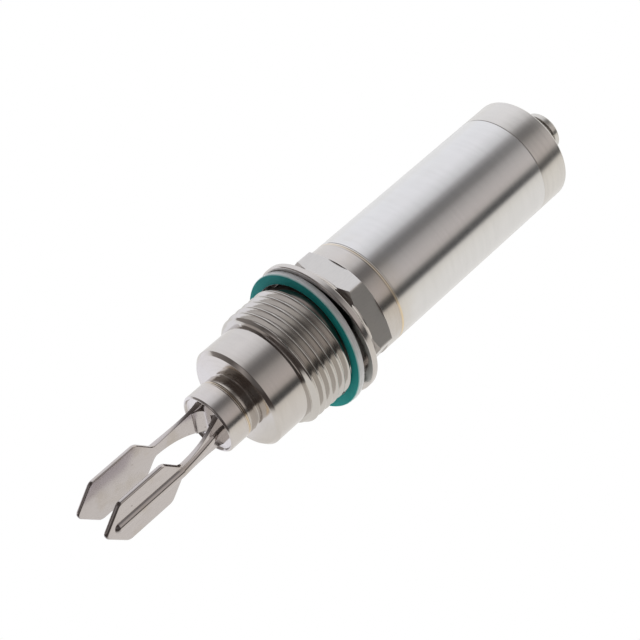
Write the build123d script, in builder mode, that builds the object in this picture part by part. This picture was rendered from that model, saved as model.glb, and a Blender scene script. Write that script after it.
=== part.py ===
from build123d import *
import math
import os

# Compact tuning fork level switch, lying as it is screwed into the side wall of a tank.
# +X runs along the axis from the fork to the plug connector, +Z is up, and the origin is
# the centre of the flange's sealing face. The two tines stand either side of the XZ plane.
# All sizes are in millimetres.

os.makedirs("parts", exist_ok=True)

# Running and seating clearances
slip_clearance = 0.05
loose_clearance = 0.1
rest_gap = 0.02

# Fork: two paddles on curved stems
fork_reach = 79.0
paddle_width = 14.2
paddle_straight = 14.6
paddle_taper = 6.3
paddle_thickness = 1.3
paddle_corner_radius = 1.8
paddle_outer_bevel = 0.5
paddle_inner_bevel = 0.12
tine_gap = 8.6
shoulder_radius = 3.0
rib_width = 3.0
rib_height = 1.05
rib_tip_margin = 3.2
stem_neck_width = 3.3
stem_root_width = 10.0
stem_root_spacing = 4.2
stem_outer_step = 0.3
stem_outer_fall = 2.2
stem_root_flare = 0.6
stem_corner_radius = 0.12
stem_overlap = 1.6
stem_sink = 0.05
saddle_radius = 2.7
saddle_lip = 0.15
saddle_width = 7.4

# Fork head: a thin-walled cup closed by the diaphragm that carries the tines
head_diameter = 17.0
head_front = -39.4
head_length = 6.3
head_edge_chamfer = 0.3
head_rim_width = 0.6
recess_depth = 0.8
recess_slope = 0.35
diaphragm_thickness = 1.0
tail_step = 1.3
tail_length = 5.6
tail_wall = 1.2
weld_bevel = 0.15

# Process adapter: collar, plain barrel, thread, flange, hexagon and sleeve, turned in one piece
collar_step = 0.15
collar_length = 2.7
collar_undercut_depth = 0.45
barrel_diameter = 29.0
barrel_face = -29.3
barrel_chamfer = 0.75
thread_diameter = 33.25
thread_front = -18.4
thread_lead_depth = 1.675
thread_lead_length = 1.5
thread_rear = -4.4
thread_runout_length = 2.05
thread_runout_depth = 1.3
groove_depth = 1.575
flange_diameter = 39.2
flange_thickness = 1.8
flange_rim_chamfer = 0.25
flange_back_diameter = 32.0
flange_back_depth = 2.1
hexagon_across_flats = 30.5
hexagon_across_corners = 35.1
hexagon_front = 4.4
hexagon_rear = 10.7
hexagon_chamfer_rise = 0.55
housing_diameter = 31.2
housing_wall = 1.4
adapter_seam = 16.1
register_length = 4.0
register_wall = 1.55
chamber_front = -21.0
lead_passage_diameter = 9.0

# Gasket hanging loose in the groove behind the thread
gasket_bore_play = 0.05
gasket_band_width = 2.8
gasket_thickness = 2.0
gasket_lean = 6.2
gasket_lean_side = 12.0
gasket_hang_angle = 25.0
gasket_edge_bevel = 0.12

# Housing tube and end cap
cap_seam = 75.1
cap_end = 84.6
cap_edge_chamfer = 0.4
cap_wall = 3.2
cap_spigot_length = 6.0
cap_spigot_wall = 1.75
seam_bevel = 0.12
seal_cord_diameter = 1.4
seal_groove_width = 1.8
seal_groove_inset = 3.0

# Plug connector, M12 with four pins
connector_thread_diameter = 12.0
connector_end = 94.5
connector_thread_chamfer = 0.6
connector_undercut_depth = 0.7
connector_undercut_length = 1.2
connector_collar_diameter = 14.6
connector_collar_thickness = 1.4
connector_stem_wall = 0.8
connector_stem_length = 7.4
socket_diameter = 8.6
socket_depth = 8.0
coding_key_width = 0.9
coding_key_height = 0.5
coding_key_setback = 0.6
insert_length = 8.6
pin_diameter = 1.0
pin_circle_diameter = 5.0
pin_reach = 6.6
pin_tail = 2.4
pin_count = 4
connector_seal_cord = 1.0
connector_seal_play = 0.55
nut_across_flats = 14.0
nut_thickness = 2.4
nut_chamfer = 0.4

# Drive stack clamped behind the diaphragm
stack_play = 0.4
stack_hole_diameter = 3.0
thrust_plate_thickness = 1.2
insulator_thickness = 0.6
electrode_thickness = 0.2
piezo_thickness = 0.8
screw_length = 3.2
screw_bore_diameter = 3.6
screw_slot_width = 1.4
screw_slot_depth = 1.0

# Electronics
board_front = 4.0
board_length = 58.0
board_width = 21.0
board_thickness = 1.6
board_top = -0.4
board_corner_radius = 0.8
holder_length = 4.0
holder_inset = 1.5
holder_window_width = 12.0
holder_window_height = 9.0
chip_side = 8.0
chip_height = 1.3
chip_start = 14.0
transformer_side = 9.0
transformer_height = 6.4
transformer_start = 26.0
transformer_core_side = 4.2
transformer_flange_thickness = 1.0
capacitor_diameter = 5.0
capacitor_height = 7.0
capacitor_pitch = 6.2
capacitor_start = 38.0
header_length = 5.0
header_width = 12.0
header_height = 3.0
header_start = 48.0
lead_diameter = 0.8
lead_pitch = 1.8
lead_landing = 3.0

# Radii and places that follow from the sizes above
tine_inner = tine_gap / 2
tine_outer = tine_inner + paddle_thickness
fork_tip = -fork_reach
paddle_tip_corner = fork_tip + paddle_taper
paddle_root_corner = paddle_tip_corner + paddle_straight
paddle_half_width = paddle_width / 2
neck_half_width = stem_neck_width / 2
neck_x = paddle_root_corner + paddle_taper * (1 - neck_half_width / paddle_half_width)
diaphragm_front = head_front + recess_depth
diaphragm_back = diaphragm_front + diaphragm_thickness
head_rear = head_front + head_length
head_radius = head_diameter / 2
tail_radius = head_radius - tail_step
tail_end = head_rear + tail_length
stack_bore_radius = tail_radius - tail_wall
stack_radius = stack_bore_radius - stack_play
recess_radius = head_radius - head_rim_width - recess_slope
housing_radius = housing_diameter / 2
tube_bore_radius = housing_radius - housing_wall
register_radius = tube_bore_radius - slip_clearance
register_end = adapter_seam + register_length
chamber_radius = register_radius - register_wall
collar_bore_radius = tail_radius + slip_clearance
collar_radius = head_radius - collar_step
collar_undercut_radius = collar_radius - collar_undercut_depth
collar_front = head_rear
collar_rear = collar_front + collar_length
thread_radius = thread_diameter / 2
thread_lead_radius = thread_radius - thread_lead_depth
groove_radius = thread_radius - groove_depth
flange_radius = flange_diameter / 2
hexagon_corner_radius = hexagon_across_corners / 2
flange_back_radius = flange_back_diameter / 2
hexagon_front_rise = (hexagon_corner_radius - flange_back_radius) * hexagon_chamfer_rise
hexagon_rear_rise = (hexagon_corner_radius - housing_radius) * hexagon_chamfer_rise

# Fork sensor: head cup, diaphragm, stems and ribbed paddles, milled from one piece


def stem_shape(way):
    """Half width, inner and outer side and rib of a stem, with way from 0 at the root to 1 at the neck."""
    flare = stem_root_flare * (1 - way) ** 14
    sink = stem_sink * way**12
    fall = stem_outer_fall * (1 - way) ** 1.5 - flare + sink
    widening = (stem_root_width - stem_neck_width) / 2
    half_width = neck_half_width + widening * (1 - way) ** 2.3 + flare
    inner = tine_inner - (tine_inner - stem_root_spacing / 2) * (1 - way) ** 3 + sink
    outer = tine_outer + stem_outer_step * (1 - way**12) - fall
    ridge = tine_outer + rib_height - fall
    return half_width, inner, outer, ridge


stem_root = (diaphragm_front + diaphragm_back) / 2
stem_end = neck_x - stem_overlap
stem_ways = (0, 0.04, 0.1, 0.2, 0.36, 0.55, 0.74, 0.89, 1)
paddle_plane = Plane(origin=(0, tine_inner, 0), x_dir=(1, 0, 0), z_dir=(0, 1, 0))
rib_start = fork_tip + rib_tip_margin + rib_width / 2
rib_end = neck_x
paddle_end = neck_x + shoulder_radius / 2
saddle_x = diaphragm_front - saddle_radius + saddle_lip

with BuildPart() as fork_sensor:
    # One paddle: a long hexagon with rounded corners and bevelled edges
    with BuildSketch(paddle_plane):
        with BuildLine():
            Polyline(
                (fork_tip, 0),
                (paddle_tip_corner, paddle_half_width),
                (paddle_root_corner, paddle_half_width),
                (neck_x, neck_half_width),
                (paddle_end, neck_half_width),
                (paddle_end, -neck_half_width),
                (neck_x, -neck_half_width),
                (paddle_root_corner, -paddle_half_width),
                (paddle_tip_corner, -paddle_half_width),
                close=True,
            )
        make_face()
        round_corners = vertices().filter_by(lambda v: v.X < paddle_root_corner + 0.1)
        fillet(round_corners, radius=paddle_corner_radius)
        shoulder_corners = vertices().filter_by(lambda v: abs(v.X - neck_x) < 0.01)
        fillet(shoulder_corners, radius=shoulder_radius)
    extrude(amount=paddle_thickness)
    outer_edges = faces().sort_by(Axis.Y)[-1].edges()
    chamfer(outer_edges.filter_by(lambda e: e.center().X < paddle_end - 0.1), length=paddle_outer_bevel)
    inner_edges = faces().sort_by(Axis.Y)[0].edges()
    chamfer(inner_edges.filter_by(lambda e: e.center().X < paddle_end - 0.1), length=paddle_inner_bevel)
    # The round rib down the paddle's outer face, closed by a rounded end
    with BuildSketch(Plane.YZ.offset(rib_start)):
        with BuildLine():
            ThreePointArc(
                (tine_outer, -rib_width / 2),
                (tine_outer + rib_height, 0),
                (tine_outer, rib_width / 2),
            )
            Polyline(
                (tine_outer, rib_width / 2),
                (tine_inner + paddle_thickness / 2, rib_width / 2),
                (tine_inner + paddle_thickness / 2, -rib_width / 2),
                (tine_outer, -rib_width / 2),
            )
        make_face()
    extrude(amount=rib_end - rib_start)
    rib_end_plane = Plane(origin=(rib_start, 0, 0), x_dir=(1, 0, 0), z_dir=(0, 0, 1))
    with BuildSketch(rib_end_plane):
        with BuildLine():
            rib_arc_radius = (rib_width**2 / 4 + rib_height**2) / (2 * rib_height)
            RadiusArc((-rib_width / 2, tine_outer), (0, tine_outer + rib_height), rib_arc_radius)
            Polyline(
                (0, tine_outer + rib_height),
                (0, tine_inner + paddle_thickness / 2),
                (-rib_width / 2, tine_inner + paddle_thickness / 2),
                (-rib_width / 2, tine_outer),
            )
        make_face()
    revolve(axis=Axis((rib_start, 0, 0), (0, 1, 0)), revolution_arc=360)
    # The curved stem, wide and close to the axis at the diaphragm, narrow at the paddle
    for way in stem_ways:
        half_width, inner, outer, ridge = stem_shape(way)
        station = stem_root + (stem_end - stem_root) * way
        with BuildSketch(Plane.YZ.offset(station)):
            with BuildLine():
                Polyline(
                    (outer, -rib_width / 2),
                    (outer, -half_width),
                    (inner, -half_width),
                    (inner, half_width),
                    (outer, half_width),
                    (outer, rib_width / 2),
                )
                ThreePointArc((outer, rib_width / 2), (ridge, 0), (outer, -rib_width / 2))
            make_face()
            side_corners = vertices().filter_by(lambda v: abs(v.Z) > half_width - 0.01)
            fillet(side_corners, radius=stem_corner_radius)
    loft()
    # The saddle between the stems, a hollow round running from one into the other
    with BuildSketch(Plane.XY):
        with BuildLine():
            Polyline(
                (saddle_x, saddle_radius),
                (saddle_x, saddle_radius + saddle_lip),
                (stem_root, saddle_radius + saddle_lip),
                (stem_root, 0),
                (saddle_x + saddle_radius, 0),
            )
            RadiusArc((saddle_x + saddle_radius, 0), (saddle_x, saddle_radius), -saddle_radius)
        make_face()
    extrude(amount=saddle_width / 2, both=True)
    mirror(about=Plane.XZ)
    # The head cup with its recessed diaphragm and the thin tail that registers in the adapter
    with BuildSketch(Plane.XZ):
        with BuildLine():
            Polyline(
                (diaphragm_back, 0),
                (diaphragm_front, 0),
                (diaphragm_front, recess_radius),
                (head_front, recess_radius + recess_slope),
                (head_front, head_radius - head_edge_chamfer),
                (head_front + head_edge_chamfer, head_radius),
                (head_rear - weld_bevel, head_radius),
                (head_rear, head_radius - weld_bevel),
                (head_rear, tail_radius),
                (tail_end, tail_radius),
                (tail_end, stack_bore_radius),
                (diaphragm_back, stack_bore_radius),
                close=True,
            )
        make_face()
    revolve(axis=Axis.X)
fork_sensor.part.label = "fork_sensor"
export_step(fork_sensor.part, "parts/fork_sensor.step")

# Process adapter: turned profile with a milled hexagon, bored through for the stack and board
with BuildPart() as process_adapter:
    with BuildSketch(Plane.XZ):
        with BuildLine():
            Polyline(
                (collar_front, collar_bore_radius),
                (collar_front, collar_radius - weld_bevel),
                (collar_front + weld_bevel, collar_radius),
                (collar_rear, collar_radius),
                (collar_rear, collar_undercut_radius),
                (barrel_face, collar_undercut_radius),
                (barrel_face, barrel_diameter / 2 - barrel_chamfer),
                (barrel_face + barrel_chamfer, barrel_diameter / 2),
                (thread_front, barrel_diameter / 2),
                (thread_front, thread_lead_radius),
                (thread_front + thread_lead_length, thread_radius),
                (thread_rear - thread_runout_length, thread_radius),
                (thread_rear, thread_radius - thread_runout_depth),
                (thread_rear, groove_radius),
                (0, groove_radius),
                (0, flange_radius - flange_rim_chamfer),
                (flange_rim_chamfer, flange_radius),
                (flange_thickness - flange_rim_chamfer, flange_radius),
                (flange_thickness, flange_radius - flange_rim_chamfer),
                (flange_thickness + flange_back_depth, flange_back_radius),
                (hexagon_front, flange_back_radius),
                (hexagon_front + hexagon_front_rise, hexagon_corner_radius),
                (hexagon_rear - hexagon_rear_rise, hexagon_corner_radius),
                (hexagon_rear, housing_radius),
                (adapter_seam - seam_bevel, housing_radius),
                (adapter_seam, housing_radius - seam_bevel),
                (adapter_seam, register_radius),
                (register_end, register_radius),
                (register_end, chamber_radius),
                (chamber_front, chamber_radius),
                (chamber_front, lead_passage_diameter / 2),
                (tail_end + loose_clearance, lead_passage_diameter / 2),
                (tail_end + loose_clearance, collar_bore_radius),
                close=True,
            )
        make_face()
    revolve(axis=Axis.X)
    with BuildSketch(Plane.YZ.offset(flange_thickness + flange_back_depth)):
        Circle(flange_radius)
        RegularPolygon(
            radius=hexagon_across_flats / 2, side_count=6, major_radius=False, mode=Mode.SUBTRACT
        )
    extrude(amount=hexagon_rear - flange_thickness - flange_back_depth, mode=Mode.SUBTRACT)
process_adapter.part.label = "process_adapter"
export_step(process_adapter.part, "parts/process_adapter.step")

# Flat gasket: hangs by its bore in the groove and leans with its top edge on the flange
gasket_inner_radius = (thread_diameter + gasket_bore_play) / 2
gasket_outer_radius = gasket_inner_radius + gasket_band_width
lean = math.radians(gasket_lean)
side = math.radians(gasket_lean_side)
hang = math.radians(gasket_hang_angle)
gasket_drop = gasket_inner_radius * math.cos(lean) - groove_radius - slip_clearance
gasket_plane = Plane(
    origin=(
        -gasket_outer_radius * math.sin(lean) - rest_gap,
        gasket_drop * math.sin(hang),
        -gasket_drop * math.cos(hang),
    ),
    x_dir=(0, math.cos(side), -math.sin(side)),
    z_dir=(-math.cos(lean), math.sin(lean) * math.sin(side), math.sin(lean) * math.cos(side)),
)
with BuildPart() as sealing_gasket:
    with BuildSketch(gasket_plane):
        Circle(gasket_outer_radius)
        Circle(gasket_inner_radius, mode=Mode.SUBTRACT)
    extrude(amount=gasket_thickness)
    chamfer(edges(), length=gasket_edge_bevel)
sealing_gasket.part.label = "sealing_gasket"
export_step(sealing_gasket.part, "parts/sealing_gasket.step")

# Drive stack: rings packed from the diaphragm back to the clamping screw
stack_rings = (
    ("thrust_plate", thrust_plate_thickness),
    ("front_insulator", insulator_thickness),
    ("drive_electrode", electrode_thickness),
    ("drive_piezo", piezo_thickness),
    ("middle_electrode", electrode_thickness),
    ("pickup_piezo", piezo_thickness),
    ("rear_electrode", electrode_thickness),
    ("rear_insulator", insulator_thickness),
)
ring_start = diaphragm_back
for ring_name, ring_thickness in stack_rings:
    with BuildPart() as stack_ring:
        with BuildSketch(Plane.YZ.offset(ring_start)):
            Circle(stack_radius)
            Circle(stack_hole_diameter / 2, mode=Mode.SUBTRACT)
        extrude(amount=ring_thickness)
    stack_ring.part.label = ring_name
    export_step(stack_ring.part, f"parts/{ring_name}.step")
    ring_start += ring_thickness
stack_rear = ring_start

# Clamping screw: hollow screw with a driver slot, held in the head's bore
screw_radius = stack_bore_radius - slip_clearance
with BuildPart() as clamping_screw:
    with BuildSketch(Plane.YZ.offset(stack_rear)):
        Circle(screw_radius)
        Circle(screw_bore_diameter / 2, mode=Mode.SUBTRACT)
    extrude(amount=screw_length)
    with BuildSketch(Plane.YZ.offset(stack_rear + screw_length)):
        Rectangle(2 * stack_bore_radius, screw_slot_width)
    extrude(amount=-screw_slot_depth, mode=Mode.SUBTRACT)
clamping_screw.part.label = "clamping_screw"
export_step(clamping_screw.part, "parts/clamping_screw.step")

# Housing tube: thin-walled, closed by the adapter's register in front and the cap behind
with BuildPart() as housing_tube:
    with BuildSketch(Plane.YZ.offset(adapter_seam)):
        Circle(housing_radius)
        Circle(tube_bore_radius, mode=Mode.SUBTRACT)
    extrude(amount=cap_seam - adapter_seam)
    rim_edges = edges().filter_by(GeomType.CIRCLE).filter_by(lambda e: e.radius > tube_bore_radius + 0.1)
    chamfer(rim_edges, length=seam_bevel)
housing_tube.part.label = "housing_tube"
export_step(housing_tube.part, "parts/housing_tube.step")

# End cap: turned cup with a grooved spigot for its seal and a seat for the plug connector
spigot_radius = tube_bore_radius - slip_clearance
spigot_front = cap_seam - cap_spigot_length
seal_groove_radius = spigot_radius - seal_cord_diameter
cap_bore_radius = seal_groove_radius - cap_spigot_wall
seal_groove_front = spigot_front + seal_groove_inset - seal_groove_width / 2
cap_floor = cap_end - cap_wall
socket_radius = socket_diameter / 2
connector_stem_radius = socket_radius + connector_stem_wall
connector_bore_radius = connector_stem_radius + slip_clearance
connector_seal_radius = connector_bore_radius + connector_seal_cord / 2
connector_seal_recess_radius = connector_bore_radius + connector_seal_cord + connector_seal_play
with BuildPart() as end_cap:
    with BuildSketch(Plane.XZ):
        with BuildLine():
            Polyline(
                (spigot_front, cap_bore_radius),
                (spigot_front, spigot_radius),
                (seal_groove_front, spigot_radius),
                (seal_groove_front, seal_groove_radius),
                (seal_groove_front + seal_groove_width, seal_groove_radius),
                (seal_groove_front + seal_groove_width, spigot_radius),
                (cap_seam, spigot_radius),
                (cap_seam, housing_radius - seam_bevel),
                (cap_seam + seam_bevel, housing_radius),
                (cap_end - cap_edge_chamfer, housing_radius),
                (cap_end, housing_radius - cap_edge_chamfer),
                (cap_end, connector_seal_recess_radius),
                (cap_end - connector_seal_cord, connector_seal_recess_radius),
                (cap_end - connector_seal_cord, connector_bore_radius),
                (cap_floor, connector_bore_radius),
                (cap_floor, cap_bore_radius),
                close=True,
            )
        make_face()
    revolve(axis=Axis.X)
end_cap.part.label = "end_cap"
export_step(end_cap.part, "parts/end_cap.step")

# Cap seal: a cord ring in the spigot's groove, its round section drawn with eight sides
with BuildPart() as cap_o_ring:
    with BuildSketch(Plane.XZ):
        seal_centre_x = seal_groove_front + seal_groove_width / 2
        with Locations((seal_centre_x, seal_groove_radius + seal_cord_diameter / 2)):
            RegularPolygon(radius=seal_cord_diameter / 2, side_count=8, major_radius=False, rotation=22.5)
    revolve(axis=Axis.X)
cap_o_ring.part.label = "cap_o_ring"
export_step(cap_o_ring.part, "parts/cap_o_ring.step")

# Connector shell: M12 thread outside, open socket with a coding key inside, stem through the cap
connector_collar_end = cap_end + connector_collar_thickness
connector_thread_front = connector_collar_end + connector_undercut_length
connector_thread_radius = connector_thread_diameter / 2
connector_undercut_radius = connector_thread_radius - connector_undercut_depth
socket_floor = connector_end - socket_depth
stem_front = cap_end - connector_stem_length
with BuildPart() as connector_shell:
    with BuildSketch(Plane.XZ):
        with BuildLine():
            Polyline(
                (stem_front, socket_radius),
                (stem_front, connector_stem_radius),
                (cap_end, connector_stem_radius),
                (cap_end, connector_collar_diameter / 2),
                (connector_collar_end, connector_collar_diameter / 2),
                (connector_collar_end, connector_undercut_radius),
                (connector_thread_front, connector_undercut_radius),
                (connector_thread_front, connector_thread_radius),
                (connector_end - connector_thread_chamfer, connector_thread_radius),
                (connector_end, connector_thread_radius - connector_thread_chamfer),
                (connector_end, socket_radius),
                close=True,
            )
        make_face()
    revolve(axis=Axis.X)
    with BuildSketch(Plane.YZ.offset(socket_floor)):
        with Locations((0, socket_radius - coding_key_height / 2 + slip_clearance)):
            Rectangle(coding_key_width, coding_key_height + 2 * slip_clearance)
    extrude(amount=socket_depth - coding_key_setback)
connector_shell.part.label = "connector_shell"
export_step(connector_shell.part, "parts/connector_shell.step")

# Connector seal: a cord ring in the recess of the cap's end face, drawn with eight sides too
with BuildPart() as connector_o_ring:
    with BuildSketch(Plane.XZ):
        with Locations((cap_end - connector_seal_cord / 2, connector_seal_radius)):
            RegularPolygon(radius=connector_seal_cord / 2, side_count=8, major_radius=False, rotation=22.5)
    revolve(axis=Axis.X)
connector_o_ring.part.label = "connector_o_ring"
export_step(connector_o_ring.part, "parts/connector_o_ring.step")

# Connector nut: draws the connector against the cap from inside
with BuildPart() as connector_nut:
    with BuildSketch(Plane.YZ.offset(cap_floor)):
        RegularPolygon(radius=nut_across_flats / 2, side_count=6, major_radius=False)
        Circle(connector_bore_radius, mode=Mode.SUBTRACT)
    extrude(amount=-nut_thickness)
    nut_rim = faces().sort_by(Axis.X)[0].outer_wire().edges()
    chamfer(nut_rim, length=nut_chamfer)
connector_nut.part.label = "connector_nut"
export_step(connector_nut.part, "parts/connector_nut.step")

# Contact insert: moulded carrier that fills the shell's bore and holds the pins
insert_front = socket_floor - insert_length
pin_circle_radius = pin_circle_diameter / 2
with BuildPart() as connector_insert:
    with BuildSketch(Plane.YZ.offset(insert_front)):
        Circle(socket_radius - slip_clearance)
        with PolarLocations(pin_circle_radius, pin_count, start_angle=45):
            Circle(pin_diameter / 2 + slip_clearance, mode=Mode.SUBTRACT)
    extrude(amount=insert_length)
connector_insert.part.label = "connector_insert"
export_step(connector_insert.part, "parts/connector_insert.step")

# Contact pins: four turned pins with rounded noses, their tails reach into the housing
pin_front = insert_front - pin_tail
with BuildPart() as contact_pins:
    with BuildSketch(Plane.YZ.offset(pin_front)):
        with PolarLocations(pin_circle_radius, pin_count, start_angle=45):
            Circle(pin_diameter / 2)
    extrude(amount=pin_tail + insert_length + pin_reach)
    nose_edges = faces().sort_by(Axis.X)[-pin_count:].edges()
    chamfer(nose_edges, length=pin_diameter / 4)
contact_pins.part.label = "contact_pins"
export_step(contact_pins.part, "parts/contact_pins.step")

# Main board: carries the electronics between the two holders
board_end = board_front + board_length
board_bottom = board_top - board_thickness
with BuildPart() as main_board:
    with BuildSketch(Plane.XY.offset(board_bottom)):
        with Locations(((board_front + board_end) / 2, 0)):
            RectangleRounded(board_length, board_width, board_corner_radius)
    extrude(amount=board_thickness)
main_board.part.label = "main_board"
export_step(main_board.part, "parts/main_board.step")

# Board holders: moulded rings with a slot for the board and a window for the leads
board_slot_width = board_width + 2 * loose_clearance
board_slot_height = board_thickness + 2 * slip_clearance
board_middle = (board_top + board_bottom) / 2
holder_places = (
    ("front_board_holder", board_front + holder_inset, chamber_radius - loose_clearance),
    ("rear_board_holder", board_end - holder_inset - holder_length, tube_bore_radius - loose_clearance),
)
for holder_name, holder_start, holder_radius in holder_places:
    with BuildPart() as board_holder:
        with BuildSketch(Plane.YZ.offset(holder_start)):
            Circle(holder_radius)
            with Locations((0, board_middle)):
                Rectangle(board_slot_width, board_slot_height, mode=Mode.SUBTRACT)
            with Locations((0, board_top + holder_window_height / 2)):
                Rectangle(holder_window_width, holder_window_height, mode=Mode.SUBTRACT)
        extrude(amount=holder_length)
    board_holder.part.label = holder_name
    export_step(board_holder.part, f"parts/{holder_name}.step")

# Processor chip: flat square package on the board
with BuildPart() as processor_chip:
    with BuildSketch(Plane.XY.offset(board_top)):
        with Locations((chip_start + chip_side / 2, 0)):
            Rectangle(chip_side, chip_side)
    extrude(amount=chip_height)
    chamfer(faces().sort_by(Axis.Z)[-1].edges(), length=chip_height / 8)
processor_chip.part.label = "processor_chip"
export_step(processor_chip.part, "parts/processor_chip.step")

# Drive transformer: two square cheeks on a narrower wound core
transformer_middle = transformer_start + transformer_side / 2
with BuildPart() as drive_transformer:
    with BuildSketch(Plane.XY.offset(board_top)):
        with Locations((transformer_middle, 0)):
            Rectangle(transformer_side, transformer_side)
    extrude(amount=transformer_flange_thickness)
    with BuildSketch(Plane.XY.offset(board_top)):
        with Locations((transformer_middle, 0)):
            Circle(transformer_core_side)
    extrude(amount=transformer_height)
    with BuildSketch(Plane.XY.offset(board_top + transformer_height - transformer_flange_thickness)):
        with Locations((transformer_middle, 0)):
            Rectangle(transformer_side, transformer_side)
    extrude(amount=transformer_flange_thickness)
drive_transformer.part.label = "drive_transformer"
export_step(drive_transformer.part, "parts/drive_transformer.step")

# Filter capacitors: two upright cans side by side
with BuildPart() as filter_capacitors:
    with BuildSketch(Plane.XY.offset(board_top)):
        with Locations((capacitor_start + capacitor_diameter / 2, 0)):
            with GridLocations(1, capacitor_pitch, 1, 2):
                Circle(capacitor_diameter / 2)
    extrude(amount=capacitor_height)
    chamfer(faces().sort_by(Axis.Z)[-2:].edges(), length=capacitor_diameter / 12)
filter_capacitors.part.label = "filter_capacitors"
export_step(filter_capacitors.part, "parts/filter_capacitors.step")

# Lead header: block that takes the connector's leads
header_end = header_start + header_length
with BuildPart() as lead_header:
    with BuildSketch(Plane.XY.offset(board_top)):
        with Locations((header_start + header_length / 2, 0)):
            Rectangle(header_length, header_width)
    extrude(amount=header_height)
lead_header.part.label = "lead_header"
export_step(lead_header.part, "parts/lead_header.step")

# Sensor leads: two wires from the rear electrode through the screw to the board
lead_height = board_top + lead_diameter / 2
lead_start = ring_start - insulator_thickness
with BuildPart() as sensor_leads:
    with BuildSketch(Plane.YZ.offset(lead_start)):
        with Locations((0, lead_height)):
            with GridLocations(lead_pitch, 1, 2, 1):
                Circle(lead_diameter / 2)
    extrude(amount=board_front + holder_inset + holder_length + lead_landing - lead_start)
sensor_leads.part.label = "sensor_leads"
export_step(sensor_leads.part, "parts/sensor_leads.step")

# Connector leads: the upper pair runs from the pins' tails to the header, the lower to the board's edge
lead_offset = pin_circle_radius * math.sin(math.radians(45))
with BuildPart() as connector_leads:
    for lead_end, lead_z in ((header_end, lead_offset), (board_end, -lead_offset)):
        with BuildSketch(Plane.YZ.offset(lead_end)):
            with Locations((0, lead_z)):
                with GridLocations(2 * lead_offset, 1, 2, 1):
                    Circle(lead_diameter / 2)
        extrude(amount=pin_front - lead_end)
connector_leads.part.label = "connector_leads"
export_step(connector_leads.part, "parts/connector_leads.step")
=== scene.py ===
"""Looks of the compact tuning fork level switch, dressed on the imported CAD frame.

The sizes below are in millimetres, in the frame's own axes: +X runs from the fork to the plug
connector, +Z is up, and the origin is the centre of the flange's sealing face.
"""

from __future__ import annotations

import logging
import math
from dataclasses import dataclass
from enum import Enum
from typing import Any, NamedTuple, Sequence

import bmesh
import bpy
from mathutils import Matrix, Vector


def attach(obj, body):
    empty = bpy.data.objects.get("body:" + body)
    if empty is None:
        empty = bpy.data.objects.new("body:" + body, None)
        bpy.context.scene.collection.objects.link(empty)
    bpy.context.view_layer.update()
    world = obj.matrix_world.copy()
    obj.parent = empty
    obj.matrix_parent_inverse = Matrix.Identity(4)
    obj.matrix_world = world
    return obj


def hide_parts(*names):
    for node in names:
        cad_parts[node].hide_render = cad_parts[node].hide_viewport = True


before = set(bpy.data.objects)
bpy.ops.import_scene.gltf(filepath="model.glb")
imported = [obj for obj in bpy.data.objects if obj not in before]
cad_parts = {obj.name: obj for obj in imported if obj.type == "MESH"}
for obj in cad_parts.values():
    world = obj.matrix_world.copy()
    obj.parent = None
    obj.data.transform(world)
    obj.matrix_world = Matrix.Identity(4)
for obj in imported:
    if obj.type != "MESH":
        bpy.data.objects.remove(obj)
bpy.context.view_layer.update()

logging.basicConfig(level=logging.INFO, format="%(name)s: %(message)s")
log = logging.getLogger("level_switch")

# MM turns millimetres into metres, and TOUCH is the gap in millimetres that counts as none
MM = 0.001
TOUCH = 0.001
# Where the head and the housing tube are welded to the adapter
HEAD_SEAM = -33.1
TUBE_SEAM = 16.1
AXIS = Vector((1.0, 0.0, 0.0))
SHARP_ANGLE = math.radians(32)
Colour = tuple[float, float, float]
Point = tuple[float, float]
Span = tuple[float, float]
Stops = tuple[tuple[float, Colour], ...]
WHITE: Colour = (1.0, 1.0, 1.0)


# Shader values


class Signal:
    """A shader value used in plain arithmetic: each operator adds its Math node."""

    def __init__(self, bench: Bench, socket: bpy.types.NodeSocket) -> None:
        """Keep the bench that owns the nodes and the socket that carries the value."""
        self.bench = bench
        self.socket = socket

    def math(self, operation: str, *terms: Signal | float) -> Signal:
        """Feed terms to one Math node.

        Args:
            operation: The Math node's operation.
            terms: The node's inputs in order, as signals or numbers.

        Returns:
            The node's result.
        """
        return self.bench.node("ShaderNodeMath", {"operation": operation}, dict(enumerate(terms)))

    def __add__(self, other: Signal | float) -> Signal:
        """Return self + other."""
        return self.math("ADD", self, other)

    def __radd__(self, other: float) -> Signal:
        """Return other + self."""
        return self.math("ADD", other, self)

    def __sub__(self, other: Signal | float) -> Signal:
        """Return self - other."""
        return self.math("SUBTRACT", self, other)

    def __rsub__(self, other: float) -> Signal:
        """Return other - self."""
        return self.math("SUBTRACT", other, self)

    def __mul__(self, other: Signal | float) -> Signal:
        """Return self * other."""
        return self.math("MULTIPLY", self, other)

    def __rmul__(self, other: float) -> Signal:
        """Return other * self."""
        return self.math("MULTIPLY", other, self)

    def __truediv__(self, other: Signal | float) -> Signal:
        """Return self / other."""
        return self.math("DIVIDE", self, other)

    def __rtruediv__(self, other: float) -> Signal:
        """Return other / self."""
        return self.math("DIVIDE", other, self)

    def __pow__(self, other: Signal | float) -> Signal:
        """Return self ** other."""
        return self.math("POWER", self, other)

    def bump_at(self, centre: float, width: float) -> Signal:
        """Return a soft bump: 1 where self is centre, 0 beyond width either side."""
        return self.math("MAXIMUM", 1.0 - self.math("ABSOLUTE", self - centre) / width, 0.0) ** 1.5

    def ramp(self, low: float, high: float) -> Signal:
        """Return a smooth rise from 0 where self is low to 1 where self is high."""
        settings = {"interpolation_type": "SMOOTHSTEP"}
        return self.bench.node("ShaderNodeMapRange", settings, {0: self, 1: low, 2: high, 3: 0.0, 4: 1.0})

    def over(self, span: Span) -> Signal:
        """Return the smooth rise over a span in millimetres, where self is in metres."""
        return self.ramp(span[0] * MM, span[1] * MM)


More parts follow.
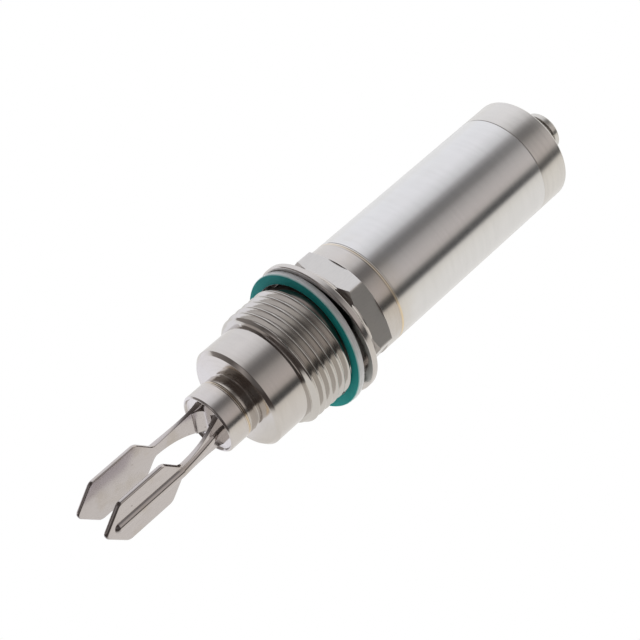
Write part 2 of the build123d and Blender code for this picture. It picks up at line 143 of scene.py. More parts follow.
def set_stops(ramp: bpy.types.ColorRamp, stops: Stops) -> None:
    """Set the stops of a new colour ramp.

    Args:
        ramp: The ramp, which still has only its two ends.
        stops: The colours by their places from 0 to 1, both ends included.
    """
    for place, colour in stops:
        if 0.0 < place < 1.0:
            stop = ramp.elements.new(place)
        else:
            stop = ramp.elements[0 if place <= 0.0 else -1]
        stop.color = (*colour, 1.0)


class Bench:
    """A node tree in the making: a place to put nodes down and join them."""

    def __init__(self, tree: bpy.types.NodeTree) -> None:
        """Start from an emptied tree."""
        self.tree = tree
        tree.nodes.clear()

    def put(self, kind: str, settings: dict[str, Any], sockets: dict[int | str, Any]) -> bpy.types.Node:
        """Add a node of any kind.

        Args:
            kind: The node's type name.
            settings: Its properties, set first. The key "stops" holds a colour ramp's stops.
            sockets: Values or signals for its inputs, by name or place.

        Returns:
            The node.
        """
        node = self.tree.nodes.new(kind)
        for name, value in settings.items():
            if name == "stops":
                set_stops(node.color_ramp, value)
            else:
                setattr(node, name, value)
        for name, value in sockets.items():
            if isinstance(value, Signal):
                self.tree.links.new(value.socket, node.inputs[name])
            elif node.inputs[name].type == "RGBA":
                node.inputs[name].default_value = (*value, 1.0)
            else:
                node.inputs[name].default_value = value
        return node

    def node(
        self,
        kind: str,
        settings: dict[str, Any] | None = None,
        sockets: dict[int | str, Any] | None = None,
        output: int | str = 0,
    ) -> Signal:
        """Add a node and return one of its outputs as a signal.

        Args:
            kind: The node's type name.
            settings: Its properties.
            sockets: Values or signals for its inputs.
            output: The output wanted, by name or place.

        Returns:
            The signal of that output.
        """
        return Signal(self, self.put(kind, settings or {}, sockets or {}).outputs[output])

    def place(self) -> Signal:
        """Return the Object coordinates, in metres."""
        return self.node("ShaderNodeTexCoord", output="Object")

    def axes(self) -> tuple[Signal, Signal, Signal, Signal]:
        """Return the Object coordinates and their three parts, in metres."""
        place = self.place()
        return place, *self.split(place)

    def split(self, vector: Signal) -> tuple[Signal, Signal, Signal]:
        """Return the three parts of a vector."""
        node = self.put("ShaderNodeSeparateXYZ", {}, {0: vector})
        return tuple(Signal(self, output) for output in node.outputs)

    def join(self, x: Signal | float, y: Signal | float, z: Signal | float) -> Signal:
        """Return a vector made of three values."""
        return self.node("ShaderNodeCombineXYZ", sockets={0: x, 1: y, 2: z})

    def noise(self, vector: Signal, scale: float, detail: float = 3.0, roughness: float = 0.55) -> Signal:
        """Return fractal noise, mostly from 0.3 to 0.7.

        Args:
            vector: Where the noise is read.
            scale: Features per metre of vector.
            detail: Octaves.
            roughness: How strongly the finer octaves show.

        Returns:
            The noise value.
        """
        sockets = {"Vector": vector, "Scale": scale, "Detail": detail, "Roughness": roughness}
        return self.node("ShaderNodeTexNoise", {"noise_dimensions": "3D"}, sockets)

    def mix(self, factor: Signal | float, first: Signal | Colour, second: Signal | Colour) -> Signal:
        """Return first where factor is 0, second where it is 1."""
        settings = {"data_type": "RGBA", "blend_type": "MIX"}
        return self.node("ShaderNodeMix", settings, {0: factor, 6: first, 7: second}, output=2)

    def tint(self, factor: Signal | float, base: Signal | Colour, by: Signal | Colour) -> Signal:
        """Return base multiplied by a colour, as strongly as factor says."""
        settings = {"data_type": "RGBA", "blend_type": "MULTIPLY"}
        return self.node("ShaderNodeMix", settings, {0: factor, 6: base, 7: by}, output=2)

    def bump(self, height: Signal, distance: float) -> Signal:
        """Return the normal bumped by a height, of which 1 stands for a distance in metres."""
        return self.node("ShaderNodeBump", sockets={"Distance": distance, "Height": height})

    def colours(self, value: Signal, stops: Stops) -> Signal:
        """Read a value as a colour.

        Args:
            value: The value.
            stops: The colours by the value that each stands at, in rising order.

        Returns:
            The colour, blended between the stops either side of the value.
        """
        near, far = stops[0][0], stops[-1][0]
        spread = tuple(((place - near) / (far - near), colour) for place, colour in stops)
        return self.node("ShaderNodeValToRGB", {"stops": spread}, {0: (value - near) / (far - near)})


class Look(NamedTuple):
    """What a pattern gives the shader."""

    colour: Signal
    roughness: Signal
    relief: Signal


@dataclass(frozen=True)
class Finish:
    """A procedural finish: a Principled surface whose pattern reads Object coordinates."""

    name: str
    colour: Colour
    metallic: float = 0.0
    roughness: float = 0.5
    relief_depth: float = 0.01

    def make(self) -> bpy.types.Material:
        """Build the material once and hand it out afterwards.

        Returns:
            The material.
        """
        found = bpy.data.materials.get(self.name)
        if found is not None:
            return found
        material = bpy.data.materials.new(self.name)
        material.use_nodes = True
        bench = Bench(material.node_tree)
        look = self.pattern(bench)
        sockets = {
            "Metallic": self.metallic,
            "Base Color": look.colour,
            "Roughness": look.roughness,
            "Normal": bench.bump(look.relief, self.relief_depth * MM),
        }
        surface = bench.node("ShaderNodeBsdfPrincipled", sockets=sockets)
        bench.put("ShaderNodeOutputMaterial", {}, {"Surface": surface})
        return material

    def pattern(self, bench: Bench) -> Look:
        """Return what changes over the surface, which each kind of finish lays out for itself."""
        raise NotImplementedError


@dataclass(frozen=True)
class TurnedSteel(Finish):
    """Stainless steel turned about the X axis: fine rings, faint chatter, a heat tint at welds."""

    metallic: float = 1.0
    roughness: float = 0.2
    relief_depth: float = 0.0012
    rings_per_mm: float = 9.0
    chatter: float = 0.06
    stain: float = 0.25
    # A painted shadow darkens the groove and the thread's end behind the gasket, as if the gasket shaded them
    gasket_shadow: bool = False
    gasket_shadow_start: Span = (-5.0, -4.2)
    gasket_shadow_stop: Span = (0.4, 0.1)
    gasket_shadow_radius: Span = (17.0, 16.7)
    gasket_shadow_side: Span = (-15.0, -12.5)
    gasket_shadow_colour: Colour = (0.38, 0.34, 0.32)
    welds: tuple[float, ...] = ()
    weld_width: float = 0.6
    weld_colour: Colour = (0.86, 0.67, 0.38)
    halo_width: float = 8.4
    halo_colour: Colour = (0.90, 0.84, 0.74)

    def pattern(self, bench: Bench) -> Look:
        """Lay out the rings, chatter, faint stains, weld tints and the painted shadow behind the gasket.

        Args:
            bench: The tree that takes the nodes.

        Returns:
            The look.
        """
        place, x, y, z = bench.axes()
        radius = (y * y + z * z) ** 0.5
        across, up = y / radius, z / radius
        turn = (x + radius) * (self.rings_per_mm / MM)
        rings = bench.noise(bench.join(turn, across * 0.7, up * 0.7), 1.0, 4.0, 0.7)
        wide = bench.noise(bench.join(turn * 0.12, across * 1.5, up * 1.5), 1.0, 2.0)
        smudge = bench.noise(place, 90.0, 4.0)
        shade = bench.tint(wide.ramp(0.35, 0.75) * self.chatter * 4.0, self.colour, (0.86, 0.86, 0.86))
        shade = bench.tint(smudge.ramp(0.52, 0.8) * self.stain, shade, (0.90, 0.87, 0.80))
        # Painted shadow: the steel behind the gasket is darkened where the gasket shades it
        if self.gasket_shadow:
            along = x.over(self.gasket_shadow_start) * x.over(self.gasket_shadow_stop)
            painted_shadow = along * radius.over(self.gasket_shadow_radius) * y.over(self.gasket_shadow_side)
            shade = bench.tint(painted_shadow, shade, self.gasket_shadow_colour)
        low = up.ramp(0.75, -0.15)
        for centre in self.welds:
            heat = x.bump_at(centre * MM, self.weld_width * MM) * (0.4 + 0.5 * low) * (0.5 + wide)
            shade = bench.mix(heat.math("MINIMUM", heat, 1.0), shade, self.weld_colour)
            halo = x.bump_at(centre * MM, self.halo_width * MM) * smudge.ramp(0.35, 0.6) * 0.5
            shade = bench.tint(halo, shade, self.halo_colour)
        rough = self.roughness + (rings - 0.5) * 0.10 + (smudge - 0.5) * self.chatter
        return Look(shade, rough, rings)


@dataclass(frozen=True)
class MilledSteel(Finish):
    """Stainless steel milled along the fork and then fine blasted: short scratches, soft grain."""

    metallic: float = 1.0
    roughness: float = 0.3
    relief_depth: float = 0.0015
    stain: float = 0.5
    spots: float = 0.8
    grain: float = 1.0
    inner_side: float = 0.0

    def pattern(self, bench: Bench) -> Look:
        """Lay out the milled surface's scratches, grain and olive-grey stains.

        Args:
            bench: The tree that takes the nodes.

        Returns:
            The look.
        """
        place, x, y, z = bench.axes()
        scratches = bench.noise(bench.join(x * 0.12, y, z), 6000.0, 3.0, 0.6)
        grain = bench.noise(place, 3500.0, 3.0, 0.6)
        smudge = bench.noise(place, 130.0, 4.0)
        spots = bench.noise(place, 700.0, 1.0)
        shade = bench.tint(smudge.ramp(0.5, 0.72) * self.stain, self.colour, (0.84, 0.80, 0.70))
        shade = bench.tint(spots.ramp(0.74, 0.80) * self.spots, shade, (0.45, 0.42, 0.38))
        shade = bench.tint(grain.ramp(0.3, 0.7) * 0.35 * self.grain, shade, (0.88, 0.88, 0.88))
        shade = bench.tint(scratches.ramp(0.4, 0.7) * 0.5, shade, (0.86, 0.86, 0.87))
        inside = y.math("ABSOLUTE", y).over((self.inner_side, self.inner_side - 0.3))
        rough = self.roughness + inside * 0.09 + (grain - 0.5) * 0.10 * self.grain + (smudge - 0.5) * 0.08
        return Look(shade, rough, scratches * 0.6 + grain * 0.4)


@dataclass(frozen=True)
class FibreSheet(Finish):
    """Bound fibre gasket sheet: matt, with short fibres in the binder and a few dark specks."""

    roughness: float = 0.72
    relief_depth: float = 0.03
    fibre_colour: Colour = (0.30, 0.55, 0.50)
    fibre_share: float = 0.25
    speck_colour: Colour = (0.01, 0.02, 0.02)
    layered: bool = False
    lit_side: Colour | None = None
    lit_span: Span = (-12.5, -14.5)

    def pattern(self, bench: Bench) -> Look:
        """Lay out fibres and specks, thin layers on the cut edge and light from the table.

        Args:
            bench: The tree that takes the nodes.

        Returns:
            The look.
        """
        place, x, y, z = bench.axes()
        fibres = bench.noise(bench.join(x, y * 0.35, z), 2600.0, 4.0, 0.7)
        cloud = bench.noise(place, 260.0, 3.0)
        specks = bench.noise(place, 1500.0, 1.0)
        shade = bench.mix(fibres.ramp(0.55, 0.75) * self.fibre_share, self.colour, self.fibre_colour)
        shade = bench.tint(cloud.ramp(0.4, 0.7) * 0.5, shade, (0.80, 0.86, 0.84))
        shade = bench.mix(specks.ramp(0.78, 0.81), shade, self.speck_colour)
        if self.lit_side is not None:
            shade = bench.mix(y.over(self.lit_span), shade, self.lit_side)
        relief = fibres
        if self.layered:
            layers = bench.noise(bench.join(x, y * 0.05, z * 0.05), 3500.0, 2.0)
            shade = bench.tint(layers.ramp(0.45, 0.6) * 0.45, shade, (0.68, 0.72, 0.68))
            relief = fibres * 0.4 + layers * 0.6
        return Look(shade, self.roughness + (cloud - 0.5) * 0.2, relief)


@dataclass(frozen=True)
class MouldedPlastic(Finish):
    """Moulded plastic or rubber: a fine spark-eroded skin with faint flow marks."""

    roughness: float = 0.45
    relief_depth: float = 0.012

    def pattern(self, bench: Bench) -> Look:
        """Lay out the moulded skin and its flow marks.

        Args:
            bench: The tree that takes the nodes.

        Returns:
            The look.
        """
        place = bench.place()
        skin = bench.noise(place, 5200.0, 2.0)
        flow = bench.noise(place, 240.0, 3.0)
        lighter = tuple(min(1.0, channel * 1.25 + 0.01) for channel in self.colour)
        shade = bench.mix(flow.ramp(0.35, 0.75) * 0.6, self.colour, lighter)
        return Look(shade, self.roughness + (flow - 0.5) * 0.2 + (skin - 0.5) * 0.1, skin)


@dataclass(frozen=True)
class FiredCeramic(Finish):
    """Fired ceramic: pale and dull, with a mottled body and a slightly smoother ground face."""

    roughness: float = 0.55
    relief_depth: float = 0.008
    mottle: Colour = (0.70, 0.66, 0.58)

    def pattern(self, bench: Bench) -> Look:
        """Lay out the mottled body and the ground skin.

        Args:
            bench: The tree that takes the nodes.

        Returns:
            The look.
        """
        place = bench.place()
        body = bench.noise(place, 1200.0, 4.0)
        shade = bench.mix(body.ramp(0.45, 0.7), self.colour, self.mottle)
        return Look(shade, self.roughness + (body - 0.5) * 0.25, bench.noise(place, 7000.0, 2.0))


@dataclass(frozen=True)
class PlatedMetal(Finish):
    """Rolled or plated metal, such as brass sheet, gilt pins and the capacitors' cans."""

    metallic: float = 1.0
    roughness: float = 0.25
    relief_depth: float = 0.002
    tarnish: Colour = (0.45, 0.30, 0.14)
    tarnish_share: float = 0.35

    def pattern(self, bench: Bench) -> Look:
        """Lay out rolling lines and a light tarnish.

        Args:
            bench: The tree that takes the nodes.

        Returns:
            The look.
        """
        place, x, y, z = bench.axes()
        lines = bench.noise(bench.join(x, y * 0.08, z), 8000.0, 3.0)
        cloud = bench.noise(place, 420.0, 4.0)
        shade = bench.mix(cloud.ramp(0.5, 0.8) * self.tarnish_share, self.colour, self.tarnish)
        return Look(shade, self.roughness + (cloud - 0.5) * 0.2 + (lines - 0.5) * 0.08, lines)


@dataclass(frozen=True)
class BoardLaminate(Finish):
    """Coated glass fibre board: a woven ground under the green coat and wide copper tracks."""

    roughness: float = 0.32
    relief_depth: float = 0.03
    track_colour: Colour = (0.10, 0.40, 0.18)

    def pattern(self, bench: Bench) -> Look:
        """Lay out the weave and the raised tracks under the coat.

        Args:
            bench: The tree that takes the nodes.

        Returns:
            The look.
        """
        place, x, y, _ = bench.axes()
        threads = [(way * 9000.0).math("SINE", way * 9000.0) for way in (x, y)]
        weave = threads[0] * threads[1] * 0.5 + 0.5
        sockets = {"Vector": place, "Scale": 420.0}
        tracks = bench.node("ShaderNodeTexVoronoi", {"distance": "CHEBYCHEV"}, sockets).ramp(0.30, 0.34)
        shade = bench.mix(tracks, self.colour, self.track_colour)
        shade = bench.tint(weave * 0.25, shade, (0.75, 0.80, 0.75))
        return Look(shade, self.roughness + weave * 0.08, tracks * 0.7 + weave * 0.3)


@dataclass(frozen=True)
class WoundCoil(Finish):
    """A bobbin wound with enamelled wire: turns side by side, glossy and coppery."""

    roughness: float = 0.35
    relief_depth: float = 0.05
    wire_colour: Colour = (0.45, 0.17, 0.05)
    turns_per_mm: float = 5.0

    def pattern(self, bench: Bench) -> Look:
        """Lay out the wire's turns, which lie across the board's normal.

        Args:
            bench: The tree that takes the nodes.

        Returns:
            The look.
        """
        place, _, _, z = bench.axes()
        wave = z * (self.turns_per_mm / MM * math.tau)
        turns = wave.math("SINE", wave) * 0.5 + 0.5
        cloud = bench.noise(place, 500.0)
        shade = bench.mix(turns * (0.6 + 0.4 * cloud), self.colour, self.wire_colour)
        return Look(shade, self.roughness + (cloud - 0.5) * 0.2, turns)


class Steels(Enum):
    """The steels of the outside, each as its own sub-assembly is finished."""

    FORK = MilledSteel("milled_fork_steel", (0.585, 0.545, 0.535), roughness=0.13, inner_side=4.7)
    HEAD = TurnedSteel(
        "turned_head_steel",
        (0.63, 0.60, 0.59),
        roughness=0.18,
        stain=0.35,
        welds=(HEAD_SEAM,),
    )
    ADAPTER = TurnedSteel(
        "turned_adapter_steel",
        (0.61, 0.58, 0.56),
        roughness=0.16,
        stain=0.35,
        gasket_shadow=True,
        welds=(HEAD_SEAM, TUBE_SEAM),
    )
    THREAD = TurnedSteel(
        "cut_thread_steel",
        (0.59, 0.565, 0.54),
        roughness=0.11,
        stain=0.4,
        rings_per_mm=2.2,
        relief_depth=0.02,
        gasket_shadow=True,
    )
    NUT = MilledSteel(
        "brushed_nut_steel",
        (0.66, 0.645, 0.63),
        roughness=0.29,
        stain=0.2,
        spots=0.0,
        grain=0.2,
    )
    HOUSING = TurnedSteel(
        "turned_housing_steel",
        (0.72, 0.715, 0.72),
        roughness=0.18,
        chatter=0.05,
        stain=0.15,
        welds=(TUBE_SEAM,),
    )
    CAP = TurnedSteel("turned_cap_steel", (0.68, 0.66, 0.64), roughness=0.2, chatter=0.08)
    CONNECTOR = TurnedSteel("turned_connector_steel", (0.66, 0.645, 0.62), roughness=0.2, stain=0.3)
    SCREW = TurnedSteel("turned_screw_steel", (0.58, 0.58, 0.58), roughness=0.3)


class Fills(Enum):
    """Every other finish: gasket, seals, ceramics, brass, electronics and the contact carrier."""

    GASKET_FACE = FibreSheet("gasket_fibre_face", (0.006, 0.44, 0.43), fibre_colour=(0.10, 0.54, 0.53))
    GASKET_EDGE = FibreSheet(
        "gasket_fibre_edge",
        (0.94, 0.95, 0.98),
        fibre_colour=(0.98, 0.98, 0.98),
        fibre_share=0.6,
        layered=True,
    )
    # The front outer bevel is painted light cyan as a painted highlight along the gasket's rim
    GASKET_RIM_HIGHLIGHT = FibreSheet("gasket_rim_painted_highlight", (0.50, 0.82, 0.82), fibre_colour=(0.65, 0.9, 0.9))
    # The back face, towards the flange, is a near-black copy of the teal fibre as painted shade, with painted
    # light from the table along its -Y side
    GASKET_SHADED_BACK = FibreSheet(
        "gasket_back_painted_shade",
        (0.012, 0.035, 0.03),
        fibre_colour=(0.03, 0.07, 0.06),
        lit_side=(0.86, 0.95, 0.97),
    )
    SEAL = MouldedPlastic("moulded_seal_rubber", (0.02, 0.02, 0.02), roughness=0.6)
    CERAMIC = FiredCeramic("fired_stack_ceramic", (0.86, 0.84, 0.79))
    PIEZO = FiredCeramic("sintered_piezo_ceramic", (0.48, 0.44, 0.36), mottle=(0.36, 0.33, 0.28))
    BRASS = PlatedMetal("rolled_electrode_brass", (0.80, 0.60, 0.26))
    BOARD = BoardLaminate("coated_board_laminate", (0.03, 0.20, 0.09))
    CHIP = MouldedPlastic("moulded_chip_plastic", (0.03, 0.03, 0.033), roughness=0.5)
    WINDING = WoundCoil("wound_transformer_coil", (0.30, 0.20, 0.08))
    CAN = PlatedMetal("drawn_capacitor_can", (0.68, 0.69, 0.71), tarnish=(0.50, 0.50, 0.52))
    HOLDER = MouldedPlastic("moulded_holder_plastic", (0.70, 0.68, 0.62), roughness=0.5)
    LEAD = MouldedPlastic("moulded_lead_insulation", (0.38, 0.05, 0.04), roughness=0.45)
    CARRIER = MouldedPlastic("moulded_carrier_plastic", (0.035, 0.035, 0.037), roughness=0.42)
    GILT = PlatedMetal("gilt_contact_pins", (0.88, 0.66, 0.26), roughness=0.18, tarnish=(0.60, 0.42, 0.18))


# Mesh work


def only_verts(grown: Sequence[Any]) -> list[bmesh.types.BMVert]:
    """Return the vertices among an operator's results."""
    return [item for item in grown if isinstance(item, bmesh.types.BMVert)]


def set_radius(vert: bmesh.types.BMVert, wanted: float, radius: float) -> None:
    """Move a vertex from its radius about the X axis to the wanted one."""
    vert.co.y *= wanted / radius
    vert.co.z *= wanted / radius


class Shell:
    """A bmesh in the making, in millimetres, that ends as one piece of the object."""

    def __init__(self) -> None:
        """Start with an empty mesh."""
        self.bm = bmesh.new()

    def wire(
        self, points: Sequence[Point], rounds: dict[int, float] | None = None, closed: bool = True
    ) -> None:
        """Lay a profile of (x, radius) corners in the XY plane and round some of them.

        Args:
            points: The corners in order.
            rounds: How far from a corner its rounding starts, by the corner's place in points.
            closed: Whether the last corner joins the first.
        """
        corners = [self.bm.verts.new((x, r, 0.0)) for x, r in points]
        self.chain(corners, closed)
        for place, reach in (rounds or {}).items():
            self.bevel([corners[place]], reach, 4, "VERTICES")

    def chain(self, corners: Sequence[bmesh.types.BMVert], closed: bool = True) -> None:
        """Join vertices by edges.

        Args:
            corners: The vertices in order.
            closed: Whether the last joins the first.
        """
        for first, second in zip(corners, corners[1:]):
            self.bm.edges.new((first, second))
        if closed:
            self.bm.edges.new((corners[-1], corners[0]))

    def bevel(self, geom: Sequence[Any], reach: float, segments: int, affect: str = "EDGES") -> None:
        """Round edges, or the corners of a wire or a flat face.

        Args:
            geom: The edges or vertices.
            reach: How far from them the rounding starts.
            segments: Facets of the rounding.
            affect: EDGES or VERTICES.
        """
        bmesh.ops.bevel(
            self.bm,
            geom=geom,
            offset=reach,
            offset_type="OFFSET",
            segments=segments,
            profile=0.5,
            affect=affect,
            material=-1,
        )

    def sweep(self, geom: Sequence[Any], angle: float, steps: int, **about: Any) -> None:
        """Spin geometry about the X axis, or about another that is given.

        Args:
            geom: What is spun.
            angle: How far it turns.
            steps: Facets of the turn.
            about: The spin's other settings, such as cent, axis, or dvec for the climb per step.
        """
        settings = {"cent": (0, 0, 0), "axis": AXIS, "use_merge": False, **about}
        bmesh.ops.spin(self.bm, geom=geom, angle=angle, steps=steps, **settings)

    def spin(self, steps: int = 192, **about: Any) -> None:
        """Spin the whole wire once round, about the X axis or another that is given, and close it."""
        self.sweep(self.bm.verts[:] + self.bm.edges[:], math.tau, steps, use_merge=True, **about)
        self.weld()

    def thicken(self, way: Sequence[float]) -> None:
        """Extrude every face along a vector."""
        grown = bmesh.ops.extrude_face_region(self.bm, geom=self.bm.faces[:])["geom"]
        bmesh.ops.translate(self.bm, verts=only_verts(grown), vec=way)

    def carry(self, edges: Sequence[bmesh.types.BMEdge]) -> list[bmesh.types.BMVert]:
        """Extrude open edges and return the new vertices."""
        return only_verts(bmesh.ops.extrude_edge_only(self.bm, edges=edges)["geom"])

    def paint(self, place: int) -> Shell:
        """Give every face one material place.

        Args:
            place: The place among the piece's finishes.

        Returns:
            The shell itself.
        """
        for face in self.bm.faces:
            face.material_index = place
        return self

    def weld(self, distance: float = 0.0005) -> None:
        """Merge doubles and point the faces outwards."""
        bmesh.ops.remove_doubles(self.bm, verts=self.bm.verts[:], dist=distance)
        bmesh.ops.recalc_face_normals(self.bm, faces=self.bm.faces[:])

    def cut(self, x: float, keep_above: bool) -> None:
        """Cut the mesh by a plane across the axis and drop one side.

        Args:
            x: Where the plane stands.
            keep_above: Whether the side with the larger x stays.
        """
        bmesh.ops.bisect_plane(
            self.bm,
            geom=self.bm.verts[:] + self.bm.edges[:] + self.bm.faces[:],
            dist=1e-5,
            plane_co=(x, 0, 0),
            plane_no=(1, 0, 0),
            clear_inner=keep_above,
            clear_outer=not keep_above,
        )

    def move(self, matrix: Matrix) -> None:
        """Move the whole mesh."""
        bmesh.ops.transform(self.bm, matrix=matrix, verts=self.bm.verts[:])

    def absorb(self, other: Shell) -> None:
        """Take in another shell's mesh and free it.

        Args:
            other: The shell that is used up.
        """
        passing = bpy.data.meshes.new("passing")
        other.bm.to_mesh(passing)
        other.bm.free()
        self.bm.from_mesh(passing)
        bpy.data.meshes.remove(passing)

    def piece(self, name: str, finishes: Sequence[Finish], slot: str, *nodes: str) -> bpy.types.Object:
        """End as a piece that stands for CAD nodes and rides on the body.

        Args:
            name: The piece's name.
            finishes: Its materials, in the order of the faces' material places.
            slot: A material slot's name, which is not used.
            nodes: The CAD nodes that it stands for.

        Returns:
            The piece.
        """
        bmesh.ops.transform(self.bm, matrix=Matrix.Scale(MM, 4), verts=self.bm.verts[:])
        mesh = bpy.data.meshes.new(name)
        self.bm.to_mesh(mesh)
        self.bm.free()
        mesh.shade_smooth()
        mesh.set_sharp_from_angle(angle=SHARP_ANGLE)
        for finish in finishes:
            mesh.materials.append(finish.make())
        thing = bpy.data.objects.new(name, mesh)
        bpy.context.scene.collection.objects.link(thing)
        if nodes:
            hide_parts(*nodes)
        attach(thing, "root")
        log.info("%s: %d faces, stands for %s", name, len(mesh.polygons), ", ".join(nodes) or "no node")
        return thing


def turned(points: Sequence[Point], rounds: dict[int, float] | None = None, steps: int = 192) -> Shell:
    """Turn a closed profile into a ring-shaped solid.

    Args:
        points: The profile's (x, radius) corners.
        rounds: Roundings by the corner's place.
        steps: Facets round the axis.

    Returns:
        The solid's shell.
    """
    shell = Shell()
    shell.wire(points, rounds)
    shell.spin(steps)
    return shell


def weld_bead(seam: float, radius: float, way: float) -> list[Point]:
    """Give one half of a fine double weld bead in a turned profile.

    Args:
        seam: Where the weld stands.
        radius: The surface's radius.
        way: +1.0 for the half behind the seam, -1.0 for the half in front of it.

    Returns:
        The half's corners, running towards the seam.
    """
    steps = ((0.62, 0.0), (0.50, -0.08), (0.30, 0.0), (0.20, -0.01), (0.0, -0.10))
    return [(seam + way * reach, radius + rise) for reach, rise in steps]


@dataclass(frozen=True)
class ScrewThread:
    """A right-handed thread cut round the X axis, with a lead-in and a run-out.

    The crests and roots are cut off level and their corners rounded, as the profile's standard gives them.
    """

    major: float
    pitch: float
    depth: float
    start: float
    end: float
    crest_share: float
    root_share: float
    corner_round: float
    limits: tuple[Point, ...]
    inner_radius: float
    phase: float = 0.0
    steps: int = 128

    def limit(self, x: float) -> float:
        """Read the largest radius between the limit points.

        Args:
            x: The place along the axis.

        Returns:
            The radius.
        """
        for (x0, r0), (x1, r1) in zip(self.limits, self.limits[1:]):
            if x0 <= x <= x1:
                return r0 + (r1 - r0) * (x - x0) / (x1 - x0)
        return self.limits[0][1] if x < self.limits[0][0] else self.limits[-1][1]

    def shell(self) -> Shell:
        """Cut the thread.

        One pitch of the profile is spun helically, the ends are cut square, the crests are turned down to the
        limits, and the open rims are carried inwards and joined by the bore.

        Returns:
            The closed thread shell.
        """
        shell = Shell()
        root, crest = self.major - self.depth, self.major
        flank = self.pitch * (1 - self.crest_share - self.root_share) / 2
        half_root = self.pitch * self.root_share / 2
        turns = math.ceil((self.end - self.start) / self.pitch) + 2
        first = self.start - self.pitch + self.phase * self.pitch - self.pitch / 2
        points = (
            (first, root),
            (first + half_root, root),
            (first + half_root + flank, crest),
            (first + self.pitch - half_root - flank, crest),
            (first + self.pitch - half_root, root),
            (first + self.pitch, root),
        )
        shell.wire(points, dict.fromkeys((1, 2, 3, 4), self.corner_round), closed=False)
        flanks = [e for e in shell.bm.edges if e.calc_length() > self.pitch * 0.2]
        bmesh.ops.subdivide_edges(shell.bm, edges=flanks, cuts=3)
        wire = shell.bm.verts[:] + shell.bm.edges[:]
        shell.sweep(wire, math.tau * turns, self.steps * turns, dvec=(self.pitch / self.steps, 0, 0))
        shell.weld(0.002)
        shell.cut(self.start, keep_above=True)
        shell.cut(self.end, keep_above=False)
        for vert in shell.bm.verts:
            radius = math.hypot(vert.co.y, vert.co.z)
            set_radius(vert, min(radius, self.limit(vert.co.x)), radius)
        for vert in shell.carry([e for e in shell.bm.edges if e.is_boundary]):
            set_radius(vert, self.inner_radius, math.hypot(vert.co.y, vert.co.z))
        shell.weld()
        return shell


